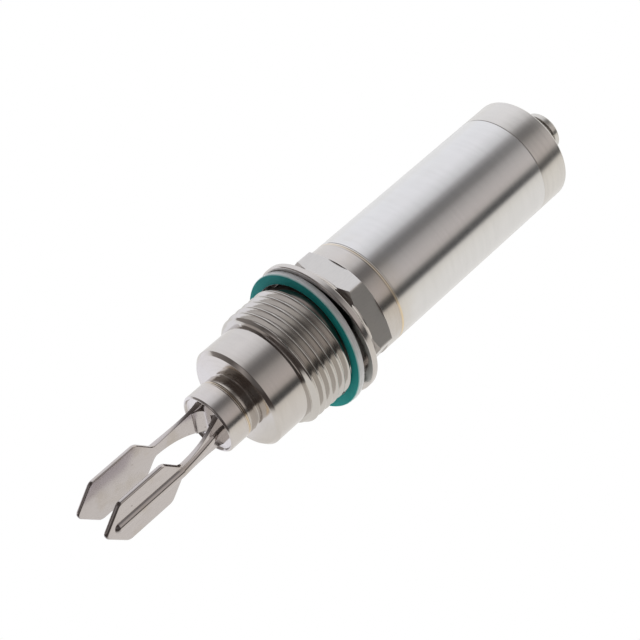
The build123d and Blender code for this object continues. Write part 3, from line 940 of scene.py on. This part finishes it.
@dataclass
class ForkSensor:
    """Head cup with its recessed diaphragm, two curved stems and two ribbed paddles."""

    head_front: float = -39.4
    head_rear: float = HEAD_SEAM
    head_radius: float = 8.5
    edge_chamfer: float = 0.4
    rim_width: float = 0.6
    recess_depth: float = 0.8
    recess_slope: float = 0.35
    diaphragm: float = 1.0
    tail_radius: float = 7.2
    tail_end: float = -27.5
    bore_radius: float = 6.0
    tip: float = -79.0
    taper: float = 6.3
    straight: float = 14.6
    half_width: float = 7.1
    corner_round: float = 1.04
    tip_round: float = 1.56
    shoulder_round: float = 1.15
    neck_reach: float = 1.5
    inner_side: float = 4.3
    thickness: float = 1.3
    outer_bevel: float = 0.68
    inner_bevel: float = 0.3
    rib_width: float = 3.0
    rib_height: float = 1.05
    rib_margin: float = 3.2
    rib_foot: float = 0.3
    neck_half: float = 1.65
    root_half: float = 5.0
    root_spacing: float = 4.2
    outer_step: float = 0.3
    outer_fall: float = 2.2
    root_flare: float = 0.3
    side_round: float = 0.12
    overlap: float = 1.6
    sink: float = 0.05
    saddle_radius: float = 2.7
    saddle_lip: float = 0.15
    saddle_half: float = 3.7
    stations: int = 28

    @property
    def diaphragm_front(self) -> float:
        """Return where the diaphragm's wetted face stands."""
        return self.head_front + self.recess_depth

    @property
    def neck(self) -> float:
        """Return where the paddle's shoulder meets the stem's width."""
        shoulder = self.tip + self.taper + self.straight
        return shoulder + self.taper * (1 - self.neck_half / self.half_width)

    def head(self) -> Shell:
        """Turn the head cup.

        Returns:
            The cup with its rim, recess, diaphragm and tail.
        """
        recess = self.head_radius - self.rim_width - self.recess_slope
        back = self.diaphragm_front + self.diaphragm
        points = (
            (back, 0.0),
            (self.diaphragm_front, 0.0),
            (self.diaphragm_front, recess),
            (self.head_front, recess + self.recess_slope),
            (self.head_front, self.head_radius - self.edge_chamfer),
            (self.head_front + self.edge_chamfer, self.head_radius),
            *weld_bead(self.head_rear, self.head_radius, -1.0),
            (self.head_rear, self.tail_radius),
            (self.tail_end, self.tail_radius),
            (self.tail_end, self.bore_radius),
            (back, self.bore_radius),
        )
        return turned(points, {2: 0.25, 3: 0.1, 4: 0.12, 5: 0.12, 12: 0.2, 14: 0.3})

    def paddle(self) -> Shell:
        """Mill one paddle: a long hexagon with rounded corners and bevelled rims.

        Returns:
            The paddle at the +Y side.
        """
        shell = Shell()
        near, far = self.tip + self.taper, self.tip + self.taper + self.straight
        end = self.neck + self.neck_reach
        outline = (
            (self.tip, 0.0),
            (near, self.half_width),
            (far, self.half_width),
            (self.neck, self.neck_half),
            (end, self.neck_half),
            (end, -self.neck_half),
            (self.neck, -self.neck_half),
            (far, -self.half_width),
            (near, -self.half_width),
        )
        corners = [shell.bm.verts.new((x, self.inner_side, z)) for x, z in outline]
        shell.bm.faces.new(corners)
        rounds = {0: self.tip_round, **dict.fromkeys((1, 2, 7, 8), self.corner_round)}
        rounds.update(dict.fromkeys((3, 6), self.shoulder_round))
        for place, reach in rounds.items():
            shell.bevel([corners[place]], reach, 8, "VERTICES")
        shell.thicken((0, self.thickness, 0))
        bmesh.ops.recalc_face_normals(shell.bm, faces=shell.bm.faces[:])
        for side, reach, segments in ((1, self.outer_bevel, 6), (-1, self.inner_bevel, 4)):
            face = max(shell.bm.faces, key=lambda f: f.normal.y * side * f.calc_area())
            rim = [e for e in face.edges if max(v.co.x for v in e.verts) < end - TOUCH]
            shell.bevel(rim, reach, segments)
        return shell

    def rib(self) -> Shell:
        """Mill the low round rib of one paddle, closed by a round nose.

        Returns:
            The rib at the +Y side.
        """
        shell = Shell()
        outer = self.inner_side + self.thickness
        start = self.tip + self.rib_margin + self.rib_width / 2
        radius = (self.rib_width**2 / 4 + self.rib_height**2) / (2 * self.rib_height)
        centre = outer + self.rib_height - radius
        crown = shell.bm.verts.new((start, centre + radius, 0.0))
        reach = math.asin(self.rib_width / 2 / radius)
        shell.sweep([crown], reach, 8, cent=(start, centre, 0), axis=(0, 0, 1))
        foot = min(shell.bm.verts, key=lambda v: v.co.y)
        shell.chain([foot, shell.bm.verts.new((foot.co.x, outer - self.rib_foot, 0.0))], closed=False)
        shell.spin(32, cent=(start, 0, 0), axis=(0, 1, 0))
        tail = [v for v in shell.bm.verts if v.co.x >= start + TOUCH]
        bmesh.ops.delete(shell.bm, geom=tail, context="VERTS")
        open_side = [e for e in shell.bm.edges if min(v.co.x for v in e.verts) > start - TOUCH]
        bmesh.ops.translate(shell.bm, verts=shell.carry(open_side), vec=(self.neck - start, 0, 0))
        shell.weld()
        return shell

    def section(self, way: float) -> tuple[float, float, float, float]:
        """Give a stem's section.

        Args:
            way: 0 at the root, 1 at the neck.

        Returns:
            Half width, inner side, outer side and the ridge's height from the middle plane.
        """
        rest = 1 - way
        # The higher the power, the nearer to its own end of the stem each change stays
        flare = self.root_flare * rest**14
        sunk = self.sink * way**12
        fall = self.outer_fall * rest**1.5 - flare + sunk
        half = self.neck_half + (self.root_half - self.neck_half) * rest**2.3 + flare
        inner = self.inner_side - (self.inner_side - self.root_spacing / 2) * rest**3 + sunk
        outer_plane = self.inner_side + self.thickness
        outer = outer_plane + self.outer_step * (1 - way**12) - fall
        return half, inner, outer, outer_plane + self.rib_height - fall

    def stem(self) -> Shell:
        """Loft one curved stem from the diaphragm to the paddle's neck.

        Returns:
            The stem at the +Y side.
        """
        shell = Shell()
        root = self.diaphragm_front + self.diaphragm / 2
        end = self.neck - self.overlap
        rings: list[list[bmesh.types.BMEdge]] = []
        for step in range(self.stations):
            # The stations stand closer towards the root, where the section changes most
            way = (step / (self.stations - 1)) ** 1.35
            half, inner, outer, ridge = self.section(way)
            x = root + (end - root) * way
            radius = (self.rib_width**2 / 4 + (ridge - outer) ** 2) / (2 * (ridge - outer))
            reach = math.asin(self.rib_width / 2 / radius)
            turns = [reach * k / 7 for k in range(6, -7, -1)]
            rise = [(ridge - radius + radius * math.cos(turn), radius * math.sin(turn)) for turn in turns]
            corners = (
                (outer, -self.rib_width / 2),
                (outer, -half),
                (inner, -half),
                (inner, half),
                (outer, half),
                (outer, self.rib_width / 2),
                *rise,
            )
            before = set(shell.bm.edges)
            verts = [shell.bm.verts.new((x, y, z)) for y, z in corners]
            shell.chain(verts)
            for place in (1, 2, 3, 4):
                shell.bevel([verts[place]], self.side_round, 4, "VERTICES")
            rings.append([e for e in shell.bm.edges if e not in before])
        for first, second in zip(rings, rings[1:]):
            bmesh.ops.bridge_loops(shell.bm, edges=first + second)
        for ring in (rings[0], rings[-1]):
            bmesh.ops.contextual_create(shell.bm, geom=ring)
        shell.weld()
        return shell

    def saddle(self) -> Shell:
        """Mill half of the hollow round saddle between the stems.

        Returns:
            The half at the +Y side.
        """
        shell = Shell()
        centre = self.diaphragm_front - self.saddle_radius + self.saddle_lip
        root = self.diaphragm_front + self.diaphragm / 2
        low = shell.bm.verts.new((centre + self.saddle_radius, 0.0, -self.saddle_half))
        shell.sweep([low], math.pi / 2, 16, cent=(centre, 0, 0), axis=(0, 0, 1))
        top = max(shell.bm.verts, key=lambda v: v.co.y)
        lip = self.saddle_radius + self.saddle_lip
        outline = ((centre, lip), (root, lip), (root, 0.0))
        rest = [shell.bm.verts.new((x, y, -self.saddle_half)) for x, y in outline]
        shell.chain([top, *rest, low], closed=False)
        bmesh.ops.contextual_create(shell.bm, geom=shell.bm.edges[:])
        shell.thicken((0, 0, 2 * self.saddle_half))
        shell.weld()
        return shell

    def build(self) -> None:
        """Join the tines to the head and dress them."""
        tines = Shell()
        for part in (self.paddle(), self.rib(), self.stem(), self.saddle()):
            tines.absorb(part)
        twin = Shell()
        twin.bm.free()
        twin.bm = tines.bm.copy()
        twin.move(Matrix.Scale(-1.0, 4, Vector((0, 1, 0))))
        bmesh.ops.reverse_faces(twin.bm, faces=twin.bm.faces[:])
        tines.absorb(twin)
        tines.paint(0).absorb(self.head().paint(1))
        tines.piece("fork_sensor_dress", (Steels.FORK.value, Steels.HEAD.value), "head_steel", "fork_sensor")


@dataclass
class ProcessAdapter:
    """Collar, barrel, thread, flange, hexagon and sleeve, turned from one bar."""

    collar: tuple[float, float, float] = (HEAD_SEAM, -30.4, 8.35)
    undercut_radius: float = 7.9
    bore_radius: float = 7.25
    barrel_face: float = -29.3
    barrel_radius: float = 14.5
    barrel_chamfer: float = 0.9
    thread: ScrewThread = ScrewThread(
        major=16.625,
        pitch=2.309,
        depth=1.479,
        start=-18.4,
        end=-4.4,
        crest_share=1 / 6,
        root_share=1 / 6,
        corner_round=0.18,
        limits=((-18.4, 15.3), (-17.95, 16.0), (-17.1, 16.625), (-4.9, 16.625), (-4.4, 15.95)),
        inner_radius=14.2,
        phase=0.2,
    )
    groove_radius: float = 15.05
    flange_radius: float = 19.6
    flange_thickness: float = 1.8
    flange_chamfer: float = 0.25
    flange_round: float = 0.06
    flange_back: Point = (3.9, 16.0)
    hexagon: Span = (4.4, 10.7)
    hexagon_flat: float = 15.25
    hexagon_corner: float = 17.55
    hexagon_core: float = 15.1
    hexagon_bore: float = 14.6
    chamfer_rise: float = 0.55
    tuck: float = 0.1
    sleeve_radius: float = 15.6
    seam: float = TUBE_SEAM
    register: Point = (20.1, 14.15)
    chamber: Point = (-21.0, 12.6)
    passage: Point = (-27.4, 4.5)

    def body(self) -> Shell:
        """Turn the bar's profile, without the thread and the hexagon.

        Returns:
            The turned body.
        """
        front, rear, radius = self.collar
        flange, edge = self.flange_radius, self.flange_chamfer
        hex_front, hex_rear = self.hexagon[0] + 2 * self.tuck, self.hexagon[1] - self.tuck
        thread_end = self.thread.end - self.tuck
        points = (
            (front, self.bore_radius),
            *reversed(weld_bead(front, radius, 1.0)),
            (rear, radius),
            (rear, self.undercut_radius),
            (self.barrel_face, self.undercut_radius),
            (self.barrel_face, self.barrel_radius - self.barrel_chamfer),
            (self.barrel_face + self.barrel_chamfer, self.barrel_radius),
            (thread_end, self.barrel_radius),
            (thread_end, self.groove_radius),
            (0.0, self.groove_radius),
            (0.0, flange - edge),
            (edge, flange),
            (self.flange_thickness - edge, flange),
            (self.flange_thickness, flange - edge),
            self.flange_back,
            (hex_front, self.flange_back[1]),
            (hex_front, self.hexagon_core),
            (hex_rear, self.hexagon_core),
            (hex_rear, self.sleeve_radius),
            *weld_bead(self.seam, self.sleeve_radius, -1.0),
            (self.seam, self.register[1]),
            self.register,
            (self.register[0], self.chamber[1]),
            self.chamber,
            (self.chamber[0], self.passage[1]),
            self.passage,
            (self.passage[0], self.bore_radius),
        )
        rounds = {6: 0.12, 7: 0.2, 8: 0.15, 9: 0.08, 10: 0.1, 13: 0.25}
        rounds.update(dict.fromkeys((14, 15, 16, 17), self.flange_round))
        rounds[18] = 0.5
        return turned(points, rounds, 256)

    def nut(self) -> Shell:
        """File the hexagon from a turned ring: each row of points goes to the flats and to the chamfers.

        Returns:
            The closed hexagon ring.
        """
        front, rear = self.hexagon
        corner, flat = self.hexagon_corner, self.hexagon_flat
        front_radius, rear_radius = self.flange_back[1], self.sleeve_radius
        front_rise = (corner - front_radius) * self.chamfer_rise
        rear_rise = (corner - rear_radius) * self.chamfer_rise
        points = (
            (front, self.hexagon_bore),
            (front, min(front_radius, flat)),
            (front + front_rise, corner),
            (rear - rear_rise, corner),
            (rear, min(rear_radius, flat)),
            (rear, self.hexagon_bore),
        )
        shell = turned(points, None, 384)
        for vert in shell.bm.verts:
            radius = math.hypot(vert.co.y, vert.co.z)
            if radius < corner - TOUCH:
                continue
            angle = math.atan2(vert.co.z, vert.co.y)
            from_flat = (angle - math.pi / 2 + math.pi / 6) % (math.pi / 3) - math.pi / 6
            wanted = min(corner, flat / math.cos(from_flat))
            set_radius(vert, wanted, radius)
            if vert.co.x < (front + rear) / 2:
                vert.co.x = front + max(0.0, wanted - front_radius) / (corner - front_radius) * front_rise
            else:
                vert.co.x = rear - max(0.0, wanted - rear_radius) / (corner - rear_radius) * rear_rise
        shell.weld()
        return shell

    def build(self) -> None:
        """Join body, hexagon and thread, and dress them."""
        whole = Shell()
        for place, part in enumerate((self.body(), self.thread.shell(), self.nut())):
            whole.absorb(part.paint(place))
        finishes = (Steels.ADAPTER.value, Steels.THREAD.value, Steels.NUT.value)
        whole.piece("process_adapter_dress", finishes, "adapter_steel", "process_adapter")


@dataclass
class SealingGasket:
    """Flat fibre gasket that hangs by its bore in the groove and leans on the flange."""

    inner_radius: float = 16.65
    outer_radius: float = 19.45
    thickness: float = 2.0
    bevel: float = 0.12
    front_bevel: float = 0.288
    flat_share: float = 0.97
    rim_share: float = 0.1
    lean: float = 6.2
    side: float = 12.0
    hang: float = 25.0
    groove_radius: float = 15.05
    rest_gap: float = 0.02
    slip: float = 0.05

    def build(self) -> None:
        """Stamp the ring, lean it as it hangs, and give faces and cut edge their own finish: painted shade on
        the back face and a painted highlight on the front outer bevel.
        """
        inner, outer, thick, edge = self.inner_radius, self.outer_radius, self.thickness, self.bevel
        points = ((0.0, inner), (0.0, outer), (thick, outer), (thick, inner))
        shell = turned(points, {0: edge, 1: edge, 2: self.front_bevel, 3: edge})
        for face in shell.bm.faces:
            outside = math.hypot(*face.calc_center_median().yz) > (inner + outer) / 2
            # Place 3, the back face, takes the painted shade; place 2, the front outer bevel, takes the
            # painted highlight
            if abs(face.normal.x) > self.flat_share:
                face.material_index = 0 if face.normal.x > 0 else 3
            else:
                face.material_index = 2 if outside and face.normal.x > self.rim_share else 1
        lean, side, hang = (math.radians(angle) for angle in (self.lean, self.side, self.hang))
        drop = inner * math.cos(lean) - self.groove_radius - self.slip
        normal = Vector((-math.cos(lean), math.sin(lean) * math.sin(side), math.sin(lean) * math.cos(side)))
        across = Vector((0.0, math.cos(side), -math.sin(side)))
        turn = Matrix((normal, across, normal.cross(across))).transposed().to_4x4()
        centre = (-outer * math.sin(lean) - self.rest_gap, drop * math.sin(hang), -drop * math.cos(hang))
        shell.move(Matrix.Translation(centre) @ turn)
        sides = (Fills.GASKET_FACE, Fills.GASKET_EDGE, Fills.GASKET_RIM_HIGHLIGHT, Fills.GASKET_SHADED_BACK)
        finishes = tuple(side.value for side in sides)
        shell.piece("sealing_gasket_dress", finishes, "gasket_fibre", "sealing_gasket")


@dataclass
class Housing:
    """Thin-walled housing tube and the turned end cap behind it."""

    radius: float = 15.6
    bore: float = 14.2
    seam: float = TUBE_SEAM
    cap_seam: float = 75.1
    cap_end: float = 84.6
    cap_wall: float = 3.2
    cap_bore: float = 11.0
    spigot_length: float = 6.0
    spigot_radius: float = 14.15
    seal_groove: tuple[float, float, float] = (2.1, 3.9, 12.75)
    cap_chamfer: float = 0.4
    seam_bevel: float = 0.12
    connector_bore: float = 5.15
    seal_recess: Point = (1.0, 6.7)

    def tube(self) -> None:
        """Draw the tube and close its rims with small rounds."""
        bevel = self.seam_bevel
        points = (
            (self.seam, self.bore),
            *reversed(weld_bead(self.seam, self.radius, 1.0)),
            (self.cap_seam - bevel, self.radius),
            (self.cap_seam, self.radius - bevel),
            (self.cap_seam, self.bore),
        )
        turned(points, {6: 0.04, 7: 0.04}, 256).piece(
            "housing_tube_dress", (Steels.HOUSING.value,), "housing_steel", "housing_tube"
        )

    def cap(self) -> None:
        """Turn the cap with its spigot, seal groove, end face and connector seat."""
        bevel, edge = self.seam_bevel, self.cap_chamfer
        front = self.cap_seam - self.spigot_length
        groove_front, groove_rear, groove_radius = self.seal_groove
        depth, recess = self.seal_recess
        points = (
            (front, self.cap_bore),
            (front, self.spigot_radius),
            (front + groove_front, self.spigot_radius),
            (front + groove_front, groove_radius),
            (front + groove_rear, groove_radius),
            (front + groove_rear, self.spigot_radius),
            (self.cap_seam, self.spigot_radius),
            (self.cap_seam, self.radius - bevel),
            (self.cap_seam + bevel, self.radius),
            (self.cap_end - edge, self.radius),
            (self.cap_end, self.radius - edge),
            (self.cap_end, recess),
            (self.cap_end - depth, recess),
            (self.cap_end - depth, self.connector_bore),
            (self.cap_end - self.cap_wall, self.connector_bore),
            (self.cap_end - self.cap_wall, self.cap_bore),
        )
        turned(points, {7: 0.05, 8: 0.05, 9: 0.12, 10: 0.12, 11: 0.1}, 256).piece(
            "end_cap_dress", (Steels.CAP.value,), "cap_steel", "end_cap"
        )

    def build(self) -> None:
        """Build tube and cap."""
        self.tube()
        self.cap()


@dataclass
class PlugConnector:
    """M12 plug connector: threaded shell with a coding key, contact carrier and four pins."""

    cap_end: float = 84.6
    stem_front: float = 77.2
    stem_radius: float = 5.1
    socket_radius: float = 4.3
    socket_floor: float = 86.5
    collar: Point = (86.0, 7.3)
    undercut_radius: float = 5.3
    end: float = 94.5
    thread: ScrewThread = ScrewThread(
        major=6.0,
        pitch=1.0,
        depth=0.613,
        start=87.2,
        end=92.1,
        crest_share=0.125,
        root_share=0.2,
        corner_round=0.05,
        limits=((87.2, 5.75), (87.45, 6.0), (91.9, 6.0), (92.1, 5.7)),
        inner_radius=5.0,
        steps=96,
    )
    ring_radius: float = 5.95
    ring_groove: tuple[float, float, float] = (92.1, 92.5, 5.4)
    ring_chamfer: float = 0.1
    end_chamfer: float = 0.5
    key: tuple[float, float, float] = (0.9, 0.5, 0.6)
    key_bevel: float = 0.1
    key_sink: float = 0.05
    insert_length: float = 8.6
    insert_play: float = 0.05
    insert_chamfers: Span = (0.2, 0.15)
    dish: tuple[float, float, float] = (3.6, 3.45, 0.25)
    pin_collar: tuple[float, float, float] = (0.52, 0.85, 0.95)
    pin_collar_reach: Span = (0.6, 0.05)
    pin_circle: float = 2.5
    pin_radius: float = 0.5
    pin_reach: float = 6.6
    pin_tail: float = 2.4

    def shell(self) -> None:
        """Turn the shell, cut its thread and set the coding key."""
        collar_end, collar_radius = self.collar
        groove_front, groove_rear, groove_radius = self.ring_groove
        chamfer, small = self.end_chamfer, self.ring_chamfer
        points = (
            (self.stem_front, self.socket_radius),
            (self.stem_front, self.stem_radius),
            (self.cap_end, self.stem_radius),
            (self.cap_end, collar_radius),
            (collar_end, collar_radius),
            (collar_end, self.undercut_radius),
            (groove_front + small, self.undercut_radius),
            (groove_front + small, groove_radius),
            (groove_rear, groove_radius),
            (groove_rear, self.ring_radius - small),
            (groove_rear + small, self.ring_radius),
            (self.end - chamfer, self.ring_radius),
            (self.end, self.ring_radius - chamfer),
            (self.end, self.socket_radius),
        )
        whole = turned(points, {3: 0.1, 4: 0.12, 5: 0.15, 11: 0.1, 12: 0.1, 13: 0.1}, 128)
        key = Shell()
        width, height, setback = self.key
        bmesh.ops.create_cube(key.bm, size=1.0)
        length = self.end - setback - self.socket_floor
        bmesh.ops.scale(key.bm, vec=(length, height, width), verts=key.bm.verts[:])
        seat = self.socket_radius + self.key_sink
        middle = Vector((self.socket_floor + length / 2, seat - height / 2, 0.0))
        bmesh.ops.translate(key.bm, vec=middle, verts=key.bm.verts[:])
        key.bevel(key.bm.edges[:], self.key_bevel, 2)
        key.weld()
        whole.absorb(key)
        whole.absorb(self.thread.shell())
        whole.piece("connector_shell_dress", (Steels.CONNECTOR.value,), "connector_steel", "connector_shell")

    def carrier(self) -> None:
        """Mould the contact carrier, its face dished and a collar round each pin."""
        floor = self.socket_floor
        front = floor - self.insert_length
        radius = self.socket_radius - self.insert_play
        rear_edge, face_edge = self.insert_chamfers
        dish_rim, dish_foot, dish_depth = self.dish
        points = (
            (front, 0.0),
            (front, radius - rear_edge),
            (front + rear_edge, radius),
            (floor - face_edge, radius),
            (floor, radius - face_edge),
            (floor, dish_rim),
            (floor - dish_depth, dish_foot),
            (floor - dish_depth, 0.0),
        )
        whole = turned(points, {5: 0.08, 6: 0.08}, 96)
        bore, face, foot = self.pin_collar
        low, high = (floor - reach for reach in self.pin_collar_reach)
        collar = ((low, bore), (high, bore), (high, face), (low, foot))
        for centre in self.pin_places():
            ring = turned(collar, {1: 0.05, 2: 0.08}, 32)
            ring.move(Matrix.Translation(centre))
            whole.absorb(ring)
        whole.piece("connector_insert_dress", (Fills.CARRIER.value,), "insert_plastic", "connector_insert")

    def pin_places(self) -> list[Vector]:
        """Return where the pins' axes cross the YZ plane."""
        angles = [math.radians(45 + 90 * k) for k in range(4)]
        return [Vector((0.0, self.pin_circle * math.cos(a), self.pin_circle * math.sin(a))) for a in angles]

    def pins(self) -> None:
        """Turn the four gilt pins with rounded noses."""
        whole = Shell()
        tail = self.socket_floor - self.insert_length - self.pin_tail
        nose = self.socket_floor + self.pin_reach
        points = ((tail, 0.0), (tail, self.pin_radius), (nose, self.pin_radius), (nose, 0.0))
        for centre in self.pin_places():
            pin = turned(points, {1: 0.06, 2: 0.3}, 32)
            pin.move(Matrix.Translation(centre))
            whole.absorb(pin)
        whole.piece("contact_pins_dress", (Fills.GILT.value,), "pin_gold", "contact_pins")

    def build(self) -> None:
        """Build shell, carrier and pins."""
        self.shell()
        self.carrier()
        self.pins()


@dataclass
class Inside:
    """The pieces that the housing hides: drive stack, seals, holders, board and leads."""

    finishes: tuple[tuple[Finish, tuple[str, ...]], ...] = (
        (Steels.SCREW.value, ("thrust_plate", "clamping_screw", "connector_nut")),
        (Fills.CERAMIC.value, ("front_insulator", "rear_insulator")),
        (Fills.BRASS.value, ("drive_electrode", "middle_electrode", "rear_electrode")),
        (Fills.PIEZO.value, ("drive_piezo", "pickup_piezo")),
        (Fills.SEAL.value, ("cap_o_ring", "connector_o_ring")),
        (Fills.BOARD.value, ("main_board",)),
        (Fills.HOLDER.value, ("front_board_holder", "rear_board_holder")),
        (Fills.CHIP.value, ("processor_chip",)),
        (Fills.WINDING.value, ("drive_transformer",)),
        (Fills.CAN.value, ("filter_capacitors",)),
        (Fills.CARRIER.value, ("lead_header",)),
        (Fills.LEAD.value, ("sensor_leads", "connector_leads")),
    )

    def build(self) -> None:
        """Give each carried-over CAD node its own finish."""
        for finish, nodes in self.finishes:
            for node in nodes:
                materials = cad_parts[node].data.materials
                materials.clear()
                materials.append(finish.make())
                log.info("%s: dressed in %s", node, finish.name)


@dataclass
class Studio:
    """White table, soft strip lights along the object's axis, and the camera."""

    floor_height: float = -20.9
    floor_reach: float = 2400.0
    camera_place: tuple[float, float, float] = (-207.03, -235.78, 333.51)
    right: tuple[float, float, float] = (0.6694, -0.7360, -0.1013)
    down: tuple[float, float, float] = (-0.5856, -0.4388, -0.6816)
    forward: tuple[float, float, float] = (0.4572, 0.5156, -0.7247)
    focal_length: float = 101.25
    sky: Stops = (
        (0.0, (1.00, 1.01, 1.04)),
        (50.0, (1.00, 1.00, 1.03)),
        (66.0, (0.88, 0.88, 0.90)),
        (80.0, (0.72, 0.72, 0.73)),
        (90.0, (0.36, 0.35, 0.35)),
        (100.0, (0.20, 0.195, 0.195)),
        (112.0, (0.22, 0.21, 0.205)),
        (124.0, (0.42, 0.40, 0.385)),
        (138.0, (0.54, 0.505, 0.485)),
        (152.0, (0.60, 0.555, 0.53)),
        (163.0, (0.54, 0.50, 0.47)),
        (169.0, (0.20, 0.19, 0.18)),
        (175.0, (0.07, 0.07, 0.07)),
        (180.0, (0.07, 0.07, 0.07)),
    )
    table: Stops = (
        (-600.0, (0.08, 0.08, 0.08)),
        (-330.0, (0.12, 0.12, 0.12)),
        (-200.0, (0.74, 0.71, 0.66)),
        (-90.0, (0.88, 0.85, 0.79)),
        (-35.0, (0.92, 0.90, 0.86)),
        (10.0, (0.86, 0.85, 0.83)),
        (60.0, (0.92, 0.92, 0.92)),
        (200.0, (0.98, 0.98, 0.99)),
    )
    fork_sky: Stops = (
        (-1.0, (0.08, 0.074, 0.072)),
        (-0.6, (0.10, 0.093, 0.09)),
        (-0.44, (0.15, 0.14, 0.136)),
        (-0.2, (0.12, 0.112, 0.11)),
        (-0.04, (0.20, 0.186, 0.18)),
        (0.16, (0.44, 0.41, 0.40)),
        (0.32, (0.26, 0.24, 0.235)),
        (0.46, (0.14, 0.13, 0.126)),
        (0.7, (0.20, 0.185, 0.18)),
        (1.0, (0.30, 0.275, 0.265)),
    )
    fork_side: tuple[Colour, Colour] = ((0.46, 0.42, 0.40), (0.07, 0.058, 0.054))
    fork_turn: Span = (0.10, -0.12)
    plug_side: Colour = (0.98, 0.96, 0.93)
    plug_turn: Span = (0.66, 0.86)
    overhead: Span = (0.6, 0.8)
    far_low: tuple[Span, Span] = ((0.3, 0.1), (0.6, 0.4))
    horizon: tuple[Span, Span, Span] = ((0.12, 0.0), (0.33, 0.45), (0.8, 0.65))
    glow: Colour = (1.08, 1.09, 1.16)
    glow_along: tuple[Span, Span] = ((-26.0, -36.0), (-140.0, -80.0))
    glow_across: Span = (-2.0, 8.0)
    dim_areas: tuple[tuple[Span, Span], ...] = (
        ((-80.0, -220.0), (1.3, 0.9)),
        ((-70.0, -115.0), (0.5, 0.3)),
    )

    def world(self) -> None:
        """Make the strip lights: bright behind and past the plug, dark overhead and past the fork."""
        world = bpy.data.worlds.new("soft_studio")
        bpy.context.scene.world = world
        world.use_nodes = True
        bench = Bench(world.node_tree)
        x, y, z = bench.split(bench.node("ShaderNodeTexCoord", output="Generated"))
        turn = z.math("ARCTAN2", z.math("MAXIMUM", z, 0.0), y)
        strips = bench.colours(turn * math.degrees(1.0), self.sky)
        fork_sky = bench.colours(y, self.fork_sky)
        overhead = z.ramp(*self.overhead)
        low, side = self.far_low
        dim = overhead.math("MAXIMUM", overhead, z.ramp(*low) * y.ramp(*side))
        fork_sky = bench.mix(dim, fork_sky, self.fork_side[1])
        low, near, far = self.horizon
        fork_sky = bench.mix(z.ramp(*low) * y.ramp(*near) * y.ramp(*far), fork_sky, self.fork_side[0])
        surround = bench.mix(x.ramp(*self.fork_turn), strips, fork_sky)
        surround = bench.mix(x.ramp(*self.plug_turn), surround, self.plug_side)
        eye = bench.node("ShaderNodeLightPath", output="Is Camera Ray")
        seen = bench.mix(eye, surround, WHITE)
        light = bench.node("ShaderNodeBackground", sockets={"Color": seen, "Strength": 1.0})
        bench.put("ShaderNodeOutputWorld", {}, {"Surface": light})

    def floor(self) -> None:
        """Lay the pale table: plain white to the camera, softly shaded where the steel mirrors it."""
        bm = bmesh.new()
        bmesh.ops.create_grid(bm, x_segments=1, y_segments=1, size=self.floor_reach / 2)
        bmesh.ops.translate(bm, vec=(0, 0, self.floor_height), verts=bm.verts[:])
        bmesh.ops.scale(bm, vec=(MM, MM, MM), verts=bm.verts[:])
        mesh = bpy.data.meshes.new("pale_table")
        bm.to_mesh(mesh)
        bm.free()
        material = bpy.data.materials.new("pale_table")
        material.use_nodes = True
        bench = Bench(material.node_tree)
        _, x, y, _ = bench.axes()
        near, far = self.glow_along
        lit = x.over(near) * x.over(far) * y.over(self.glow_across)
        shaded = bench.mix(lit, bench.colours(y / MM, self.table), self.glow)
        aside = y / (MM - x.math("MINIMUM", x, 0.0))
        for (along, sideways), colour in zip(self.dim_areas, self.fork_side):
            shaded = bench.mix(x.over(along) * aside.ramp(*sideways), shaded, colour)
        eye = bench.node("ShaderNodeLightPath", output="Is Camera Ray")
        sockets = {
            "Base Color": (0.0, 0.0, 0.0),
            "Roughness": 0.9,
            "Specular IOR Level": 0.0,
            "Emission Color": bench.mix(eye, shaded, WHITE),
            "Emission Strength": 1.0,
        }
        surface = bench.node("ShaderNodeBsdfPrincipled", sockets=sockets)
        bench.put("ShaderNodeOutputMaterial", {}, {"Surface": surface})
        mesh.materials.append(material)
        table = bpy.data.objects.new("pale_table", mesh)
        bpy.context.scene.collection.objects.link(table)

    def camera(self) -> None:
        """Set the camera at the photograph's place and angle."""
        lens = bpy.data.cameras.new("photo_camera")
        lens.sensor_width = 36.0
        lens.lens = self.focal_length
        lens.clip_start = 0.01
        lens.clip_end = 20.0
        camera = bpy.data.objects.new("photo_camera", lens)
        bpy.context.scene.collection.objects.link(camera)
        right, down, forward = (Vector(v).normalized() for v in (self.right, self.down, self.forward))
        turn = Matrix((right, -down, -forward)).transposed()
        camera.matrix_world = Matrix.Translation(Vector(self.camera_place) * MM) @ turn.to_4x4()
        bpy.context.scene.camera = camera

    def build(self) -> None:
        """Set camera, world, floor and the plain picture settings."""
        self.camera()
        self.world()
        self.floor()
        bpy.context.scene.view_settings.view_transform = "Standard"


def main() -> None:
    """Build the studio and every sub-assembly in order."""
    for kind in (Studio, ForkSensor, ProcessAdapter, SealingGasket, Housing, PlugConnector, Inside):
        log.info("building %s", kind.__name__)
        kind().build()


if __name__ == "__main__":
    main()
